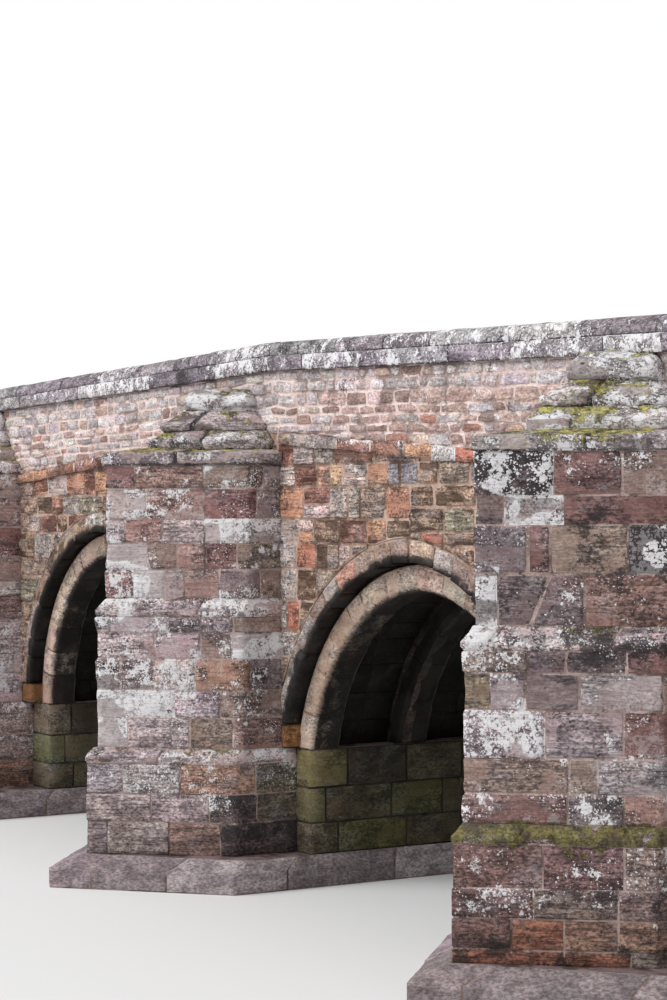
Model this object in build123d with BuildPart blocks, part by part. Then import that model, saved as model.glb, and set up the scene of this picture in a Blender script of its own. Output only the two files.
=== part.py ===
from build123d import *
import math
import os

os.makedirs("parts", exist_ok=True)

# A medieval sandstone bridge: four ribbed, slightly pointed arches on three piers with
# angled cutwaters at both ends. X runs along the bridge, Y across it, and Z up.
# The origin is under the middle pier, on the bridge's centre line, at the foot of the footings.

# Plan of the bridge
pier_side_margin = 23.44
deck_half_width = 2130.0
abutment_end_length = 900.0

# Heights of the piers, from the foot of the footings
footing_edge_height = 170.0
footing_height = 270.0
plinth_height = 850.0
plinth_weathering_height = 80.0
middle_stage_height = 1220.0
stage_weathering_height = 110.0
cap_foot_drop = 340.0

# Cutwaters, measured out from the face of the wall
upper_half_width = 845.0
upper_shoulder = 335.0
upper_nose_length = 1305.0
stage_side_step = 20.0
stage_shoulder_step = 78.0
stage_nose_step = 101.0

# Footings
footing_ledge = 110.0
footing_side_margin = 20.0
footing_shoulder_ledge = 220.0
footing_nose_ledge = 370.0

# Arches
low_arch_radius = 2150.0
low_arch_centre_drop = 430.0
high_arch_radius = 1900.0
high_arch_centre_rise = 30.0
arch_centre_shift = 75.0
outer_order_thickness = 170.0
rib_gap = 50.0
rib_height = 215.0
rib_width = 300.0
rib_chamfer = 40.0
rib_count = 5
rib_limb_lengths = 3
rib_joint = 6.0
rib_setback = 120.0
order_foot_rise = 220.0
wall_thickness = 300.0

# Hump of the road and the parapets
crown_cover = 550.0
road_fall = 0.073
road_thickness = 60.0
string_height = 80.0
string_projection = 45.0
parapet_thickness = 400.0
coping_crest_place = 700.0
parapet_crest_height = 500.0
coping_fall_left = 0.022
coping_fall_right = 0.027
coping_overhang = 65.0
coping_lower_height = 135.0
coping_height = 260.0
coping_groove = 28.0
coping_splay_height = 14.0
coping_roll_width = 87.5
coping_roll_foot = 43.75
coping_joint = 8.0

# Weathered cap of a cutwater: each slab's lip height and slope height, and how far its half
# width, shoulder and nose stand back from the upper stage. A slope ends at the next slab's lip.
cap_overhang = 12.0
cap_lip_heights = (85.0, 85.0, 60.0, 100.0)
cap_slope_heights = (45.0, 85.0, 130.0, 60.0)
cap_side_steps = (0.0, 155.0, 275.0, 445.0)
cap_shoulder_steps = (0.0, 120.0, 185.0, 225.0)
cap_nose_steps = (0.0, 425.0, 575.0, 815.0)
cap_top_margin = 90.0

# Levels that follow from the heights above
plinth_lip = footing_height + plinth_height
springing = plinth_lip + plinth_weathering_height
middle_lip = springing + middle_stage_height
upper_stage_foot = middle_lip + stage_weathering_height
order_foot = springing + order_foot_rise
low_arch_centre_height = springing - low_arch_centre_drop
high_arch_centre_height = springing + high_arch_centre_rise
high_arch_crown = high_arch_centre_height + math.sqrt(high_arch_radius**2 - arch_centre_shift**2)

# A bay is the low arch's span at the springing and half a pier on each side
low_arch_half_span = math.sqrt(low_arch_radius**2 - low_arch_centre_drop**2) - arch_centre_shift
bay_length = 2 * (low_arch_half_span + upper_half_width + pier_side_margin)
half_length = 2 * bay_length + abutment_end_length

# The hump clears the high arch, half a bay from the crest, and the caps and parapets follow it
high_arch_cover_level = high_arch_crown + outer_order_thickness + crown_cover
road_crest_height = high_arch_cover_level + road_fall * bay_length / 2
coping_seat_crest_height = road_crest_height + parapet_crest_height
cap_foot = road_crest_height - cap_foot_drop
upper_stage_height = cap_foot - upper_stage_foot
shaft_half_depth = deck_half_width - rib_setback
wall_inner_face = deck_half_width - wall_thickness

PIERS = {"left_pier": -bay_length, "middle_pier": 0.0, "right_pier": bay_length}
LOW_ARCH = (low_arch_radius, low_arch_centre_height)
HIGH_ARCH = (high_arch_radius, high_arch_centre_height)
ARCHES = {
    "far_left_arch": (-1.5 * bay_length, LOW_ARCH),
    "left_arch": (-0.5 * bay_length, HIGH_ARCH),
    "right_arch": (0.5 * bay_length, LOW_ARCH),
    "far_right_arch": (1.5 * bay_length, LOW_ARCH),
}
SIDES = {"downstream": -1, "upstream": 1}


def road_level(x):
    """Height of the hump's line, where the parapets stand on the walls."""
    return road_crest_height - road_fall * abs(x)


def coping_seat(x):
    """Height of the underside of the coping."""
    fall = coping_fall_left if x < coping_crest_place else coping_fall_right
    return coping_seat_crest_height - fall * abs(x - coping_crest_place)


def half_span(radius, centre_height, level):
    """Half the width of a two-centred arch line at a level."""
    rise = max(level - centre_height, 0.0)
    return math.sqrt(radius**2 - rise**2) - arch_centre_shift


def rib_intrados(arch):
    """Radius of the underside of the ribs of an arch."""
    return arch[0] - rib_gap - rib_height


def arch_area(centre_x, radius, centre_height, foot):
    """Area under a two-centred arch line, down to a level."""
    start = max(foot, centre_height)
    half = half_span(radius, centre_height, start)
    start_angle = math.asin((start - centre_height) / radius)
    apex_angle = math.acos(arch_centre_shift / radius)
    middle_angle = (start_angle + apex_angle) / 2
    middle_x = radius * math.cos(middle_angle) - arch_centre_shift
    middle_z = centre_height + radius * math.sin(middle_angle)
    apex_z = centre_height + radius * math.sin(apex_angle)
    with BuildSketch() as area:
        with BuildLine():
            ThreePointArc((centre_x - half, start), (centre_x - middle_x, middle_z), (centre_x, apex_z))
            ThreePointArc((centre_x, apex_z), (centre_x + middle_x, middle_z), (centre_x + half, start))
            if start > foot:
                Line((centre_x + half, start), (centre_x + half, foot))
                Line((centre_x - half, start), (centre_x - half, foot))
            Line((centre_x - half, foot), (centre_x + half, foot))
        make_face()
    return area.sketch


def arch_band(centre_x, inner, outer, centre_height, foot):
    """Band between two arch lines with the same centres."""
    with BuildSketch() as band:
        add(arch_area(centre_x, outer, centre_height, foot))
        add(arch_area(centre_x, inner, centre_height, foot - rib_height), mode=Mode.SUBTRACT)
    return band.sketch


def rib_length(centre_x, side, inner, outer, centre_height, number):
    """One of the lengths of a rib's limb, cut off square to its line, counted from the springing."""
    foot_rise = max(springing - centre_height, 0.0)
    first_angle = math.asin(foot_rise / inner)
    last_angle = math.acos(arch_centre_shift / inner)
    step_angle = (last_angle - first_angle) / rib_limb_lengths
    half_joint = rib_joint / 2 / inner
    arcs = []
    for radius in (inner, outer):
        start = first_angle + number * step_angle + half_joint
        end = first_angle + (number + 1) * step_angle - half_joint
        if number == 0:
            start = math.asin(foot_rise / radius)
        if number == rib_limb_lengths - 1:
            end = math.acos((arch_centre_shift + rib_joint / 2) / radius)
        points = []
        for angle in (start, (start + end) / 2, end):
            reach = radius * math.cos(angle) - arch_centre_shift
            points.append((centre_x + side * reach, centre_height + radius * math.sin(angle)))
        arcs.append(points)
    inner_arc, outer_arc = arcs
    foot = (inner_arc[0][0], springing), (outer_arc[0][0], springing)
    with BuildSketch() as length:
        with BuildLine():
            ThreePointArc(*inner_arc)
            Line(inner_arc[2], outer_arc[2])
            ThreePointArc(*outer_arc)
            if number == 0 and inner_arc[0][1] > springing:
                Polyline(outer_arc[0], foot[1], foot[0], inner_arc[0])
            else:
                Line(outer_arc[0], inner_arc[0])
        make_face()
    return length.sketch


def cutwater_plan(level, pier_x, side, half_width, shoulder, nose, back=0.0):
    """Plan of a cutwater outside the wall, at a level."""
    wall = side * deck_half_width
    with BuildSketch(Plane.XY.offset(level)) as plan:
        with BuildLine():
            Polyline(
                (pier_x - half_width, wall - side * back),
                (pier_x - half_width, wall + side * shoulder),
                (pier_x, wall + side * nose),
                (pier_x + half_width, wall + side * shoulder),
                (pier_x + half_width, wall - side * back),
                close=True,
            )
        make_face()
    return plan.sketch


def side_plane(y):
    """Upright plane along the bridge whose sketch has x to the right and z up."""
    return Plane(origin=(0, y, 0), x_dir=(1, 0, 0), z_dir=(0, -1, 0))


def cross_plane(x):
    """Upright plane across the bridge whose sketch has y to the right and z up."""
    return Plane(origin=(x, 0, 0), x_dir=(0, 1, 0), z_dir=(1, 0, 0))


def arch_beside(axis_x, direction):
    """Shape of the arch in the bay on one side of a pier or an abutment."""
    centre = axis_x + direction * bay_length / 2
    return next(arch for place, arch in ARCHES.values() if abs(place - centre) < bay_length / 4)


def jamb_width(axis_x, direction):
    """Distance from a pier's axis to the ribs' feet on one side."""
    arch = arch_beside(axis_x, direction)
    return bay_length / 2 - half_span(rib_intrados(arch), arch[1], springing)


def foot_width(axis_x, direction):
    """Distance from a pier's axis to the foot of an outer order, which clears the ribs."""
    radius, centre_height = arch_beside(axis_x, direction)
    order_width = half_span(radius, centre_height, order_foot)
    rib_clearance = half_span(radius - rib_gap, centre_height, springing)
    return bay_length / 2 - max(order_width, rib_clearance)


# Piers: a footing, a shaft that carries the arches, and a cutwater with its cap at each end
plinth_half_width = upper_half_width + 2 * stage_side_step
plinth_shoulder = upper_shoulder + 2 * stage_shoulder_step
plinth_nose = upper_nose_length + 2 * stage_nose_step

for pier, pier_x in PIERS.items():
    left_jamb, right_jamb = [jamb_width(pier_x, direction) for direction in (-1, 1)]
    left_foot, right_foot = [foot_width(pier_x, direction) for direction in (-1, 1)]
    with BuildPart() as footing:
        for level, margin, shoulder, nose in (
            (footing_edge_height, footing_ledge, footing_shoulder_ledge, footing_nose_ledge),
            (footing_height, footing_side_margin, footing_side_margin, footing_side_margin),
        ):
            with BuildSketch(Plane.XY.offset(level)):
                with BuildLine():
                    Polyline(
                        (pier_x - left_jamb - margin, -deck_half_width - plinth_shoulder - shoulder),
                        (pier_x, -deck_half_width - plinth_nose - nose),
                        (pier_x + right_jamb + margin, -deck_half_width - plinth_shoulder - shoulder),
                        (pier_x + right_jamb + margin, deck_half_width + plinth_shoulder + shoulder),
                        (pier_x, deck_half_width + plinth_nose + nose),
                        (pier_x - left_jamb - margin, deck_half_width + plinth_shoulder + shoulder),
                        close=True,
                    )
                make_face()
        loft(ruled=True)
        extrude(footing.faces().sort_by(Axis.Z)[0], amount=footing_edge_height)
    footing.part.label = pier + "_footing"
    export_step(footing.part, "parts/" + pier + "_footing.step")

    with BuildPart() as shaft:
        with BuildSketch(Plane.XY.offset(footing_height)):
            with Locations((pier_x + (right_jamb - left_jamb) / 2, 0)):
                Rectangle(left_jamb + right_jamb, 2 * shaft_half_depth)
        extrude(amount=springing - footing_height)
        with BuildSketch(Plane.XY.offset(springing)):
            for side in SIDES.values():
                with Locations(
                    (pier_x + (right_foot - left_foot) / 2, side * (deck_half_width - wall_thickness / 2))
                ):
                    Rectangle(left_foot + right_foot, wall_thickness)
        extrude(amount=order_foot_rise)
    shaft.part.label = pier + "_shaft"
    export_step(shaft.part, "parts/" + pier + "_shaft.step")

    for side_name, side in SIDES.items():
        with BuildPart() as cutwater:
            plinth = (plinth_half_width, plinth_shoulder, plinth_nose, rib_setback)
            extrude(cutwater_plan(footing_height, pier_x, side, *plinth), amount=plinth_height)
            stages = (
                (plinth_lip, plinth_weathering_height, 2, 1, rib_setback),
                (springing, middle_stage_height, 1, 1, 0.0),
                (middle_lip, stage_weathering_height, 1, 0, 0.0),
                (upper_stage_foot, upper_stage_height, 0, 0, 0.0),
            )
            for foot, height, steps_below, steps_above, back in stages:
                plans = []
                for level, steps in ((foot, steps_below), (foot + height, steps_above)):
                    half_width = upper_half_width + steps * stage_side_step
                    shoulder = upper_shoulder + steps * stage_shoulder_step
                    nose = upper_nose_length + steps * stage_nose_step
                    plans.append(cutwater_plan(level, pier_x, side, half_width, shoulder, nose, back))
                loft(plans, ruled=True)
        cutwater.part.label = pier + "_" + side_name + "_cutwater"
        export_step(cutwater.part, "parts/" + pier + "_" + side_name + "_cutwater.step")

    with BuildPart() as caps:
        for side in SIDES.values():
            foot = cap_foot
            outlines = []
            for side_step, shoulder_step, nose_step in zip(cap_side_steps, cap_shoulder_steps, cap_nose_steps):
                outlines.append(
                    (upper_half_width - side_step, upper_shoulder - shoulder_step, upper_nose_length - nose_step)
                )
            tops = [*outlines[1:], tuple(value - cap_top_margin for value in outlines[-1])]
            outlines[0] = tuple(value + cap_overhang for value in outlines[0])
            for slab, (outline, top) in enumerate(zip(outlines, tops)):
                lip_height = cap_lip_heights[slab]
                extrude(cutwater_plan(foot, pier_x, side, *outline), amount=lip_height)
                slope_foot = foot + lip_height
                slope_top = slope_foot + cap_slope_heights[slab]
                slope_plans = [
                    cutwater_plan(slope_foot, pier_x, side, *outline),
                    cutwater_plan(slope_top, pier_x, side, *top),
                ]
                loft(slope_plans, ruled=True)
                foot = slope_top
    caps.part.label = pier + "_cutwater_caps"
    export_step(caps.part, "parts/" + pier + "_cutwater_caps.step")

# Arches: an outer order in each face, ribs set back under it, and the vault that they carry
rib_pitch = (2 * shaft_half_depth - rib_width) / (rib_count - 1)

for name, (centre_x, arch) in ARCHES.items():
    radius, centre_height = arch
    with BuildPart() as outer_orders:
        for side in SIDES.values():
            outer_face = side * deck_half_width if side < 0 else wall_inner_face
            with BuildSketch(side_plane(outer_face)):
                outer_radius = radius + outer_order_thickness
                add(arch_band(centre_x, radius, outer_radius, centre_height, order_foot))
            extrude(amount=-wall_thickness)
    outer_orders.part.label = name + "_outer_orders"
    export_step(outer_orders.part, "parts/" + name + "_outer_orders.step")

    rib_radius = rib_intrados(arch)
    with BuildPart() as ribs:
        for number in range(rib_count):
            with BuildSketch(side_plane(-shaft_half_depth + number * rib_pitch)):
                for side in SIDES.values():
                    for place in range(rib_limb_lengths):
                        outer_radius = rib_radius + rib_height
                        add(rib_length(centre_x, side, rib_radius, outer_radius, centre_height, place))
            extrude(amount=-rib_width)
        intrados_edges = ribs.edges().filter_by(GeomType.CIRCLE)
        chamfer(intrados_edges.filter_by(lambda edge: abs(edge.radius - rib_radius) < 1), rib_chamfer)
    ribs.part.label = name + "_ribs"
    export_step(ribs.part, "parts/" + name + "_ribs.step")

    with BuildPart() as vault:
        with BuildSketch(side_plane(-wall_inner_face)):
            outer_radius = radius + outer_order_thickness
            add(arch_band(centre_x, radius - rib_gap, outer_radius, centre_height, springing))
        extrude(amount=-2 * wall_inner_face)
    vault.part.label = name + "_vault"
    export_step(vault.part, "parts/" + name + "_vault.step")

    # Spandrel walls stand on the pier shafts and on the outer orders, up to the hump's line,
    # and rubble fills the bay between them, over the vault
    left_end = -half_length if centre_x < -bay_length else centre_x - bay_length / 2
    right_end = half_length if centre_x > bay_length else centre_x + bay_length / 2
    for side_name, side in SIDES.items():
        outer_face = side * deck_half_width if side < 0 else wall_inner_face
        with BuildPart() as spandrel:
            with BuildSketch(side_plane(outer_face)):
                with BuildLine():
                    Polyline(
                        (left_end, order_foot),
                        (right_end, order_foot),
                        (right_end, road_level(right_end)),
                        (left_end, road_level(left_end)),
                        close=True,
                    )
                make_face()
                outer_radius = radius + outer_order_thickness
                add(arch_area(centre_x, outer_radius, centre_height, springing), mode=Mode.SUBTRACT)
            extrude(amount=-wall_thickness)
        spandrel.part.label = name + "_" + side_name + "_spandrel"
        export_step(spandrel.part, "parts/" + name + "_" + side_name + "_spandrel.step")

    with BuildPart() as fill:
        with BuildSketch(side_plane(-wall_inner_face)):
            with BuildLine():
                Polyline(
                    (left_end, springing),
                    (right_end, springing),
                    (right_end, road_level(right_end)),
                    (left_end, road_level(left_end)),
                    close=True,
                )
            make_face()
            add(arch_area(centre_x, radius + outer_order_thickness, centre_height, springing), mode=Mode.SUBTRACT)
        extrude(amount=-2 * wall_inner_face)
    fill.part.label = name + "_fill"
    export_step(fill.part, "parts/" + name + "_fill.step")

# The worn road on the fill
road_half_width = deck_half_width - parapet_thickness
with BuildPart() as road:
    with BuildSketch(side_plane(-road_half_width)):
        with BuildLine():
            Polyline(
                (-half_length, road_level(half_length)),
                (0, road_level(0)),
                (half_length, road_level(half_length)),
                (half_length, road_level(half_length) + road_thickness),
                (0, road_level(0) + road_thickness),
                (-half_length, road_level(half_length) + road_thickness),
                close=True,
            )
        make_face()
    extrude(amount=-2 * road_half_width)
road.part.label = "road_surface"
export_step(road.part, "parts/road_surface.step")

# Parapets, their string course and their moulded coping
cap_half_width = upper_half_width + cap_overhang
string_spans = []
for start, end in zip(
    (-half_length, *[x + cap_half_width for x in PIERS.values()]),
    (*[x - cap_half_width for x in PIERS.values()], half_length),
):
    string_spans.append((start, end))

for side_name, side in SIDES.items():
    parapet_face = side * deck_half_width if side < 0 else deck_half_width - parapet_thickness
    with BuildPart() as parapet:
        with BuildSketch(side_plane(parapet_face)):
            with BuildLine():
                Polyline(
                    (-half_length, road_level(half_length)),
                    (0, road_level(0)),
                    (half_length, road_level(half_length)),
                    (half_length, coping_seat(half_length)),
                    (coping_crest_place, coping_seat(coping_crest_place)),
                    (-half_length, coping_seat(-half_length)),
                    close=True,
                )
            make_face()
        extrude(amount=-parapet_thickness)
    parapet.part.label = side_name + "_parapet"
    export_step(parapet.part, "parts/" + side_name + "_parapet.step")

    with BuildPart() as string_course:
        for start, end in string_spans:
            string_face = side * deck_half_width if side > 0 else -deck_half_width - string_projection
            with BuildSketch(side_plane(string_face)):
                with BuildLine():
                    Polyline(
                        (start, road_level(start) - string_height),
                        (end, road_level(end) - string_height),
                        (end, road_level(end)),
                        (start, road_level(start)),
                        close=True,
                    )
                make_face()
            extrude(amount=-string_projection)
    string_course.part.label = side_name + "_string_course"
    export_step(string_course.part, "parts/" + side_name + "_string_course.step")

    # The coping has a plain lower band, a groove, and a rounded upper band. Its two runs meet
    # at a joint over the crest.
    coping_half_width = parapet_thickness / 2 + coping_overhang
    upper_half = coping_half_width - coping_groove
    crown_half = upper_half - coping_roll_width
    middle = side * (deck_half_width - parapet_thickness / 2)
    with BuildPart() as coping:
        for start, end in (
            (-half_length, coping_crest_place - coping_joint / 2),
            (coping_crest_place + coping_joint / 2, half_length),
        ):
            sections = []
            for x in (start, end):
                foot = coping_seat(x)
                lower_top = foot + coping_lower_height
                shoulder = lower_top + coping_roll_foot
                top = foot + coping_height
                with BuildSketch(cross_plane(x)) as section:
                    with BuildLine():
                        Polyline(
                            (middle + upper_half, shoulder),
                            (middle + upper_half, lower_top),
                            (middle + coping_half_width, lower_top - coping_splay_height),
                            (middle + coping_half_width, foot),
                            (middle - coping_half_width, foot),
                            (middle - coping_half_width, lower_top - coping_splay_height),
                            (middle - upper_half, lower_top),
                            (middle - upper_half, shoulder),
                        )
                        TangentArc((middle - upper_half, shoulder), (middle - crown_half, top), tangent=(0, 1))
                        Line((middle - crown_half, top), (middle + crown_half, top))
                        TangentArc((middle + upper_half, shoulder), (middle + crown_half, top), tangent=(0, 1))
                    make_face()
                sections.append(section.sketch)
            loft(sections, ruled=True)
    coping.part.label = side_name + "_coping"
    export_step(coping.part, "parts/" + side_name + "_coping.step")

# Abutments: the banks' own half piers, which end in plain faces
for name, direction in (("left_abutment", -1), ("right_abutment", 1)):
    axis_x = direction * 2 * bay_length
    jamb = jamb_width(axis_x, -direction)
    order_width = foot_width(axis_x, -direction)
    with BuildPart() as abutment:
        for foot, top, reach, half_depth in (
            (0.0, footing_height, jamb + footing_ledge, deck_half_width + footing_ledge),
            (footing_height, springing, jamb, deck_half_width),
        ):
            with BuildSketch(Plane.XY.offset(foot)):
                with Locations((axis_x + direction * (abutment_end_length - reach) / 2, 0)):
                    Rectangle(abutment_end_length + reach, 2 * half_depth)
            extrude(amount=top - foot)
        with BuildSketch(Plane.XY.offset(springing)):
            for side in SIDES.values():
                place_x = axis_x + direction * (abutment_end_length - order_width) / 2
                with Locations((place_x, side * (deck_half_width - wall_thickness / 2))):
                    Rectangle(abutment_end_length + order_width, wall_thickness)
        extrude(amount=order_foot_rise)
    abutment.part.label = name
    export_step(abutment.part, "parts/" + name + ".step")
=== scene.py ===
# %% [markdown]
# # A medieval stone arch bridge
# The bridge is a solid core that came from CAD, and this lesson lays its stones on that core.
# The stones could be drawn as bumps in a material, but their outlines, worn edges and open joints
# would then be missing wherever light grazes them. So every wall, arch and cap of the core is
# treated as a sheet with a direction along it, up it and out of it, and each stone is a small
# curved patch that stands a few millimetres out of the sheet. The core shows in the joints, as
# the mortar does.

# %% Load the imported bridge
import math
from collections import defaultdict
import bpy
import numpy as np
from mathutils import Matrix, Vector


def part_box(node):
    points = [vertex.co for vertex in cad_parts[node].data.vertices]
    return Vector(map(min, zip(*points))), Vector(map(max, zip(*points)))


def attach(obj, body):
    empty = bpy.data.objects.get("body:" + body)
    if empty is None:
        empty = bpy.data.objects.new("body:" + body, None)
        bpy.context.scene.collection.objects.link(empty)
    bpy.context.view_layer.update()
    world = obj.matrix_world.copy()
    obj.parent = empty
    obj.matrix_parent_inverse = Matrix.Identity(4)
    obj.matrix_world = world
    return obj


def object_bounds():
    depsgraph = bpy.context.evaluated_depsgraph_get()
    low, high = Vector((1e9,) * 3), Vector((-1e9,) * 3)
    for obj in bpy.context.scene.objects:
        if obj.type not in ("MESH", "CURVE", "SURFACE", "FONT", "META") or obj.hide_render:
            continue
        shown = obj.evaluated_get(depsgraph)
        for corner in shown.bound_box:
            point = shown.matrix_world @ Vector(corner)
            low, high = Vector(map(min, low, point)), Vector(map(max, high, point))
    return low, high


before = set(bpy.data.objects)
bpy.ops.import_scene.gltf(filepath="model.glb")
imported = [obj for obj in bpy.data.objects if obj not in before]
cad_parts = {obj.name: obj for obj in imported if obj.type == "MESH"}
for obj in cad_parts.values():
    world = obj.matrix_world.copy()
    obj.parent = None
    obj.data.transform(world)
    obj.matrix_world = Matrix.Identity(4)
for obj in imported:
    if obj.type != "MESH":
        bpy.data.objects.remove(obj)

cad_low, cad_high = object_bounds()
print("the bridge's box:", [round(v, 3) for v in (*cad_low, *cad_high)])

# %% [markdown]
# The masons set the bridge out from a few sizes: the distance between the piers, the face of the
# wall, and the levels at which the cutwaters step in. These could be typed here again, but the
# stones would then float or sink when the core changes. They are read from the core instead, and
# only the heights of the stages are typed, because no box of a piece shows them.

# %% Read the places of the piers and walls
PIERS = ("left_pier", "middle_pier", "right_pier")
SIDES = {"downstream": -1, "upstream": 1}


def middle_x(node):
    low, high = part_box(node)
    return (low.x + high.x) / 2


PIER_AXES = {pier: middle_x(pier + "_downstream_cutwater") for pier in PIERS}
BAY = PIER_AXES["right_pier"] - PIER_AXES["middle_pier"]
WALL = -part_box("right_arch_downstream_spandrel")[0].y
RIB_FACE = -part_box("right_arch_ribs")[0].y
HALF_LENGTH = float(cad_high.x)
print("bay", round(BAY, 3), "wall at", round(WALL, 3), "ribs at", round(RIB_FACE, 3))

# %% Read the outline of a cutwater
SAME_LEVEL = 0.0015
SAME_EDGE = 0.002


def core_points(node, level, side):
    """The corners of a node at a level, on one side of the bridge."""
    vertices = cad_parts[node].data.vertices
    points = np.zeros(len(vertices) * 3)
    vertices.foreach_get("co", points)
    points = points.reshape(-1, 3)
    return points[(abs(points[:, 2] - level) < SAME_LEVEL) & (points[:, 1] * side > 0)]


def core_outline(node, level, axis_x, side):
    """Half width, shoulder and nose of a cutwater or of its cap at a level."""
    points = core_points(node, level, side)
    half = abs(points[:, 0] - axis_x).max()
    edge = points[abs(abs(points[:, 0] - axis_x) - half) < SAME_EDGE]
    return float(half), float((edge[:, 1] * side).max()), float((points[:, 1] * side).max())


def nose_row(pier_x, outline, wall, side, level):
    """The corners round a cutwater at a level: wall, shoulder, nose, shoulder, wall."""
    half, shoulder, nose = outline
    corners = ((-half, wall), (-half, shoulder), (0.0, nose), (half, shoulder), (half, wall))
    return [(pier_x + x, side * y, level) for x, y in corners]


node = "middle_pier_downstream_cutwater"
outline = core_outline(node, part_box(node)[0].z, PIER_AXES["middle_pier"], -1)
print("half width, shoulder and nose of a cutwater:", [round(v, 3) for v in outline])

# %% Read the levels of the stages
FOOTING_EDGE = 0.17
FOOTING_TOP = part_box("middle_pier_footing")[1].z
STAGE_HEIGHTS = (0.85, 0.08, 1.22, 0.11)
PLINTH_LIP, SPRINGING, MIDDLE_LIP, UPPER_FOOT = [float(v) for v in FOOTING_TOP + np.cumsum(STAGE_HEIGHTS)]
CAP_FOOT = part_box("middle_pier_cutwater_caps")[0].z
CAP_HEIGHTS = (0.085, 0.045, 0.085, 0.085, 0.06, 0.13, 0.10, 0.06)
CAP_LEVELS = [CAP_FOOT, *[float(v) for v in CAP_FOOT + np.cumsum(CAP_HEIGHTS)]]
ORDER_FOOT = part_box("middle_pier_shaft")[1].z
print("cap top", round(CAP_LEVELS[-1], 3), "in the core", round(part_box("middle_pier_cutwater_caps")[1].z, 3))

# %% [markdown]
# Each arch is struck from two centres a little apart, which gives its slight point, and the road
# rises to a hump. The curves could be traced along the core's edges, but the facets of the core
# would then show in the stones. So each arch is written as a radius and a centre height, and its
# crown is printed next to the core's own, as a check.

# %% Describe the arches
CENTRE_SHIFT = 0.075
ORDER_DEPTH = 0.17
RIB_GAP = 0.05
RIB_DEPTH = 0.215
RIB_WIDTH = 0.30
RIB_CHAMFER = 0.04
# Each arch: the place of its middle, its radius and the height of its centres
ARCHES = {
    "far_left_arch": (-1.5 * BAY, 2.15, 0.77),
    "left_arch": (-0.5 * BAY, 1.90, 1.23),
    "right_arch": (0.5 * BAY, 2.15, 0.77),
    "far_right_arch": (1.5 * BAY, 2.15, 0.77),
}
ARCH_LIST = list(ARCHES)


def arch_reach(radius, centre_height, level):
    """Half width of an arch line at a level."""
    rise = max(level - centre_height, 0.0)
    return math.sqrt(max(radius**2 - rise**2, 0.0)) - CENTRE_SHIFT


def arch_height(radius, centre_height, reach):
    """Height of an arch line at a distance from its middle."""
    return centre_height + math.sqrt(max(radius**2 - (abs(reach) + CENTRE_SHIFT) ** 2, 0.0))


for arch, (_, arch_radius, arch_centre) in ARCHES.items():
    crown = arch_height(arch_radius + ORDER_DEPTH, arch_centre, 0.0)
    print(arch, "crown", round(crown, 4), "in the core", round(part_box(arch + "_outer_orders")[1].z, 4))

# %% Describe the hump of the road and the line of the coping
ROAD_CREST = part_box("right_arch_downstream_spandrel")[1].z
ROAD_FALL = (ROAD_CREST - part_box("far_right_arch_downstream_spandrel")[1].z) / BAY
STRING_HEIGHT = 0.08
STRING_REACH = -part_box("downstream_string_course")[0].y
PARAPET_THICKNESS = 0.4
COPING_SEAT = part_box("downstream_parapet")[1].z
COPING_CREST_X = 0.7
COPING_FALL_LEFT, COPING_FALL_RIGHT = 0.022, 0.027


def road_line(x):
    return ROAD_CREST - ROAD_FALL * abs(x)


def coping_line(x):
    fall = np.where(np.less(x, COPING_CREST_X), COPING_FALL_LEFT, COPING_FALL_RIGHT)
    return COPING_SEAT - fall * abs(x - COPING_CREST_X)


print("road crest", round(ROAD_CREST, 3), "fall", round(ROAD_FALL, 4), "coping seat", round(COPING_SEAT, 3))

# %% [markdown]
# Old stone is never even, so most shapes and colours here are stirred by noise. Blender has noise
# textures and a noise function of its own, but calling it once for each of half a million corners
# is slow. A value noise made from hashed grid corners works on whole numpy arrays and gives the
# same result on every run.

# %% Make a noise that repeats exactly
def grid_hash(x, y, z, seed):
    """A number from -1 to 1 that looks random but is always the same for a grid corner."""
    n = (x * 374761393 + y * 668265263 + z * 1274126177 + seed * 974634777) & 0xFFFFFFFF
    n = ((n ^ (n >> 13)) * 1103515245) & 0xFFFFFFFF
    return ((n ^ (n >> 16)) & 0xFFFF) / 32767.5 - 1.0


def noise(points, size, seed=0):
    """Smooth noise from -1 to 1 whose lumps are about `size` metres across."""
    p = np.asarray(points, float) / size
    cell = np.floor(p).astype(np.int64)
    f = p - cell
    f = f * f * (3 - 2 * f)
    value = 0.0
    for corner in np.ndindex(2, 2, 2):
        weight = 1.0
        for axis, far in enumerate(corner):
            weight = weight * (f[..., axis] if far else 1 - f[..., axis])
        value = value + weight * grid_hash(*[cell[..., axis] + far for axis, far in enumerate(corner)], seed)
    return value


def rough_noise(points, size, seed=0, octaves=3):
    """Noise with finer lumps on its lumps."""
    total, share = 0.0, 1.0
    for octave in range(octaves):
        total = total + share * noise(points, size / 2**octave, seed + 17 * octave)
        share *= 0.55
    return total


def smooth_step(low, high, value):
    f = np.clip((np.asarray(value, float) - low) / (high - low), 0, 1)
    return f * f * (3 - 2 * f)


print("noise at one point", round(float(noise(np.array([0.3, 0.2, 0.1]), 0.5)), 4))

# %% [markdown]
# The stones have to wrap round the corners of the cutwaters and follow the curves of the arches.
# They could be modelled flat and bent afterwards, but their joints would open at the corners. A
# sheet is a grid of corners taken from the core. Any place on it is found from `s`, the metres
# along, and `t`, the metres up, and a stone's face is lifted by `h` metres. At a corner of the
# core the lift follows the mitre between the faces, so a stone wraps round it without a gap.

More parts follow.
